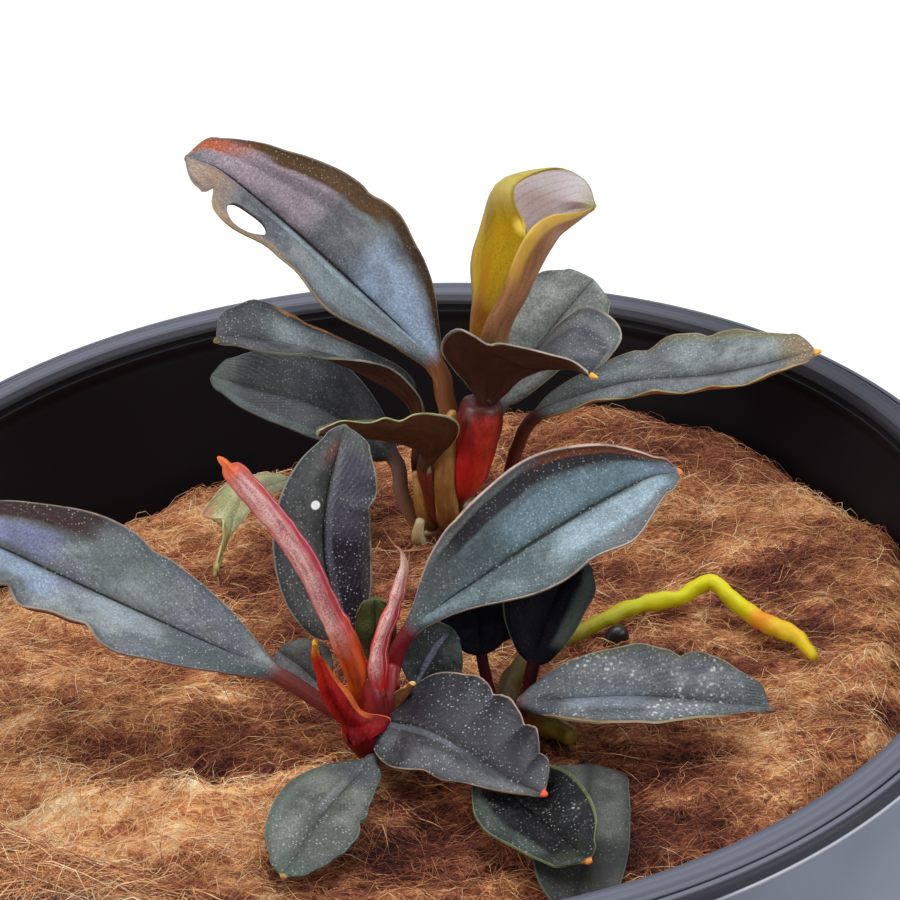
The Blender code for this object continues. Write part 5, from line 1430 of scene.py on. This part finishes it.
# The green root: one thick young root from the right tuft that crosses the fibre, olive at its
# foot and bright yellow-green further on, with an orange spot.
def root_skin():
    """Smooth green root skin, in screen colours from its foot to its tip."""
    material, start = new_material("green_root_skin", roughness=0.5, specular=0.3)
    along = start.node("Attribute", out="Fac", attribute_name="along")
    place = start.node("TexCoord", out="Object")
    cloud = start.node("TexNoise",
                       {"Vector": place, "Scale": 600.0, "Detail": 5.0, "Roughness": 0.65})
    colour = start.node("ValToRGB", {0: along + (cloud - 0.5) * 0.12}, stops=(
        (0.0, tint(60, 44, 10)), (0.25, tint(92, 74, 8)), (0.42, tint(156, 150, 8)),
        (0.60, tint(206, 200, 6)), (0.79, tint(214, 200, 8)), (0.835, tint(222, 136, 18)),
        (0.875, tint(214, 174, 14)), (1.0, tint(204, 176, 18))))
    colour = (cloud.rise(0.55, 0.75) * 0.5).mix(colour, tint(104, 100, 8))
    paint(material, colour, height=cloud, strength=0.6, distance=0.2)
    return material


fit(stem("green_root_looks",
         [(7.9, -12.4, -6.9), (7.8, -10.6, -6.6), (8.6, -8.2, -6.2), (10.4, -5.4, -6.2),
          (12.4, -3.5, -6.7), (15.2, -1.7, -6.6), (18.3, -0.1, -6.4), (21.3, 0.3, -6.2),
          (23.7, 0.9, -5.4), (25.3, -1.2, -6.0), (27.2, -3.8, -6.3), (29.1, -5.6, -6.3),
          (30.2, -8.0, -6.8)],
         (0.8, 0.75, 0.68, 0.6, 0.55, 0.55, 0.6, 0.62, 0.6, 0.6, 0.66, 0.7, 0.6, 0.35), count=170,
         rough=0.18),
    root_skin(), "green_root")


# A dead root tip: a small black bead of rotten root that lies half in the coir near the green
# root. It is a short fat rod, made as the stems are.
dead_skin = rolled_skin("dead_root", ((10, 8, 14), (14, 10, 16)), sheen_colour=(40, 34, 40),
                        dark_streak_and_seam_shade=(4, 3, 6), gloss=0.2)
dead = stem("dead_root_tip",
            [(15.5, -3.0, -8.4), (16.0, -2.8, -7.4), (16.5, -2.6, -7.1), (17.0, -2.4, -7.8)],
            (0.4, 0.6, 0.62, 0.4), count=24, sides=24)
dead.data.materials.append(dead_skin)
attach(dead, "root")


# The torn leaf: an old pale green leaf, worn to a strip and bent down to the fibre. Both margins
# follow the tears, and its stalk goes into the coir.
fit(leaf("torn_leaf_looks",
         [(-3.2, 13.6, -7.6), (-4.4, 14.2, -4.8), (-6.2, 14.3, -2.6), (-7.9, 13.8, -1.9),
          (-9.8, 12.9, -1.8), (-11.4, 12.2, -2.2), (-12.2, 11.4, -3.1), (-12.5, 10.8, -3.9),
          (-13.0, 10.0, -5.0), (-13.7, 9.0, -6.2), (-13.95, 8.3, -6.9)], 3,
         faces=((-0.2, -0.3, 0.9), (-0.4, -0.5, 0.7)), stalk=0.35, seed=25, point=0.1, bow=0.05,
         margins=([(-7.8, 13.4, -2.2), (-8.9, 12.8, -2.3), (-9.9, 12.2, -2.5), (-10.5, 11.9, -2.9),
                   (-11.0, 11.6, -3.2), (-11.3, 11.4, -3.5), (-11.8, 11.1, -3.9), (-12.2, 10.8, -4.3),
                   (-12.7, 10.4, -4.8), (-13.0, 10.0, -5.3), (-13.3, 9.6, -5.7), (-13.6, 9.1, -6.2),
                   (-13.9, 8.5, -6.8)],
                  [(-7.8, 14.2, -1.7), (-9.2, 13.9, -1.1), (-10.7, 13.6, -1.0), (-11.9, 13.2, -1.1),
                   (-13.0, 12.6, -1.4), (-14.0, 12.0, -2.2), (-14.8, 11.4, -3.0), (-14.0, 11.2, -3.3),
                   (-13.1, 11.0, -3.3), (-13.1, 10.6, -3.8), (-13.1, 10.2, -4.4), (-13.5, 9.4, -5.4),
                   (-14.0, 8.5, -6.7)])),
    leaf_skin("torn_skin", ((178, 176, 130), (150, 152, 100), (166, 166, 118)), specks=0.2,
              mottle=0.35,
              rim=(206, 198, 150), under=((132, 130, 66), (132, 130, 66)), tip=(140, 120, 20),
              rim_width=2.0,
              marks=((0.0, 1.3, 0.68, 1.1, (132, 104, 16), 0.9),
                     (0.9, 0.3, 0.5, 0.68, (196, 120, 96), 0.8),
                     (0.0, 1.2, -0.1, 0.22, (112, 112, 96), 0.8)),
              stalk=((90, 80, 40), (104, 110, 70)), midrib=0.15, roughness=0.6),
    "torn_leaf")


# The studio: a plain pale floor, a pale room light all round and soft boxes overhead, in front and
# at the sides. The camera looks down 30 degrees with a slight roll, as the photograph does.
def studio():
    """Lay the floor and hang the lights. They are stage, not part of the object."""
    bm = bmesh.new()
    bmesh.ops.create_grid(bm, x_segments=1, y_segments=1, size=4.0)
    floor = add_piece("studio_floor", bm)
    material, start = new_material("studio_paper", roughness=0.9, specular=0.1)
    paper = material.node_tree.nodes["Principled BSDF"].inputs["Base Color"]
    paper.default_value = (0.93, 0.93, 0.93, 1.0)
    floor.data.materials.append(material)
    world = bpy.data.worlds.new("studio_room")
    bpy.context.scene.world = world
    world.use_nodes = True
    background = world.node_tree.nodes["Background"]
    background.inputs["Color"].default_value = (0.93, 0.96, 1.0, 1.0)
    background.inputs["Strength"].default_value = 0.45
    boxes = (("overhead_box", (0.05, 0.10, 0.75), 0.55, 4.2, (0.95, 0.98, 1.0)),
             ("left_box", (-0.62, -0.30, 0.45), 0.35, 3.5, (1.0, 0.96, 0.90)),
             ("right_box", (0.60, -0.25, 0.35), 0.30, 1.75, (0.92, 0.96, 1.0)))
    for name, place, size, power, colour in boxes:
        lamp = bpy.data.lights.new(name, "AREA")
        lamp.shape = "SQUARE"
        lamp.size = size
        lamp.energy = power
        lamp.color = colour
        light = bpy.data.objects.new(name, lamp)
        bpy.context.collection.objects.link(light)
        light.location = place
        aim = Vector((0, 0, 0.07)) - light.location
        light.rotation_euler = aim.to_track_quat("-Z", "Y").to_euler()
    bpy.context.scene.view_settings.view_transform = "Standard"


def photo_camera():
    """Set up the camera that the pot's rim was fitted with."""
    pitch, roll = math.radians(29.56), math.radians(-3.55)
    ahead = Vector((0.0, math.cos(pitch), -math.sin(pitch)))
    up = Vector((0.0, math.sin(pitch), math.cos(pitch)))
    right = Vector((1.0, 0.0, 0.0))
    rolled_right = right * math.cos(roll) + up * math.sin(roll)
    rolled_up = up * math.cos(roll) - right * math.sin(roll)
    aim, distance = Vector((4.88, 13.77, RIM_HEIGHT)), 195.3
    eye = (aim - ahead * distance) * MM
    lens = bpy.data.cameras.new("photo_camera")
    lens.lens = 100.0
    lens.sensor_width = 36.0
    lens.clip_start = 0.001
    camera = bpy.data.objects.new("photo_camera", lens)
    bpy.context.collection.objects.link(camera)
    turned = Matrix((rolled_right, rolled_up, -ahead)).transposed().to_4x4()
    camera.matrix_world = Matrix.Translation(eye) @ turned
    bpy.context.scene.camera = camera


studio()
photo_camera()
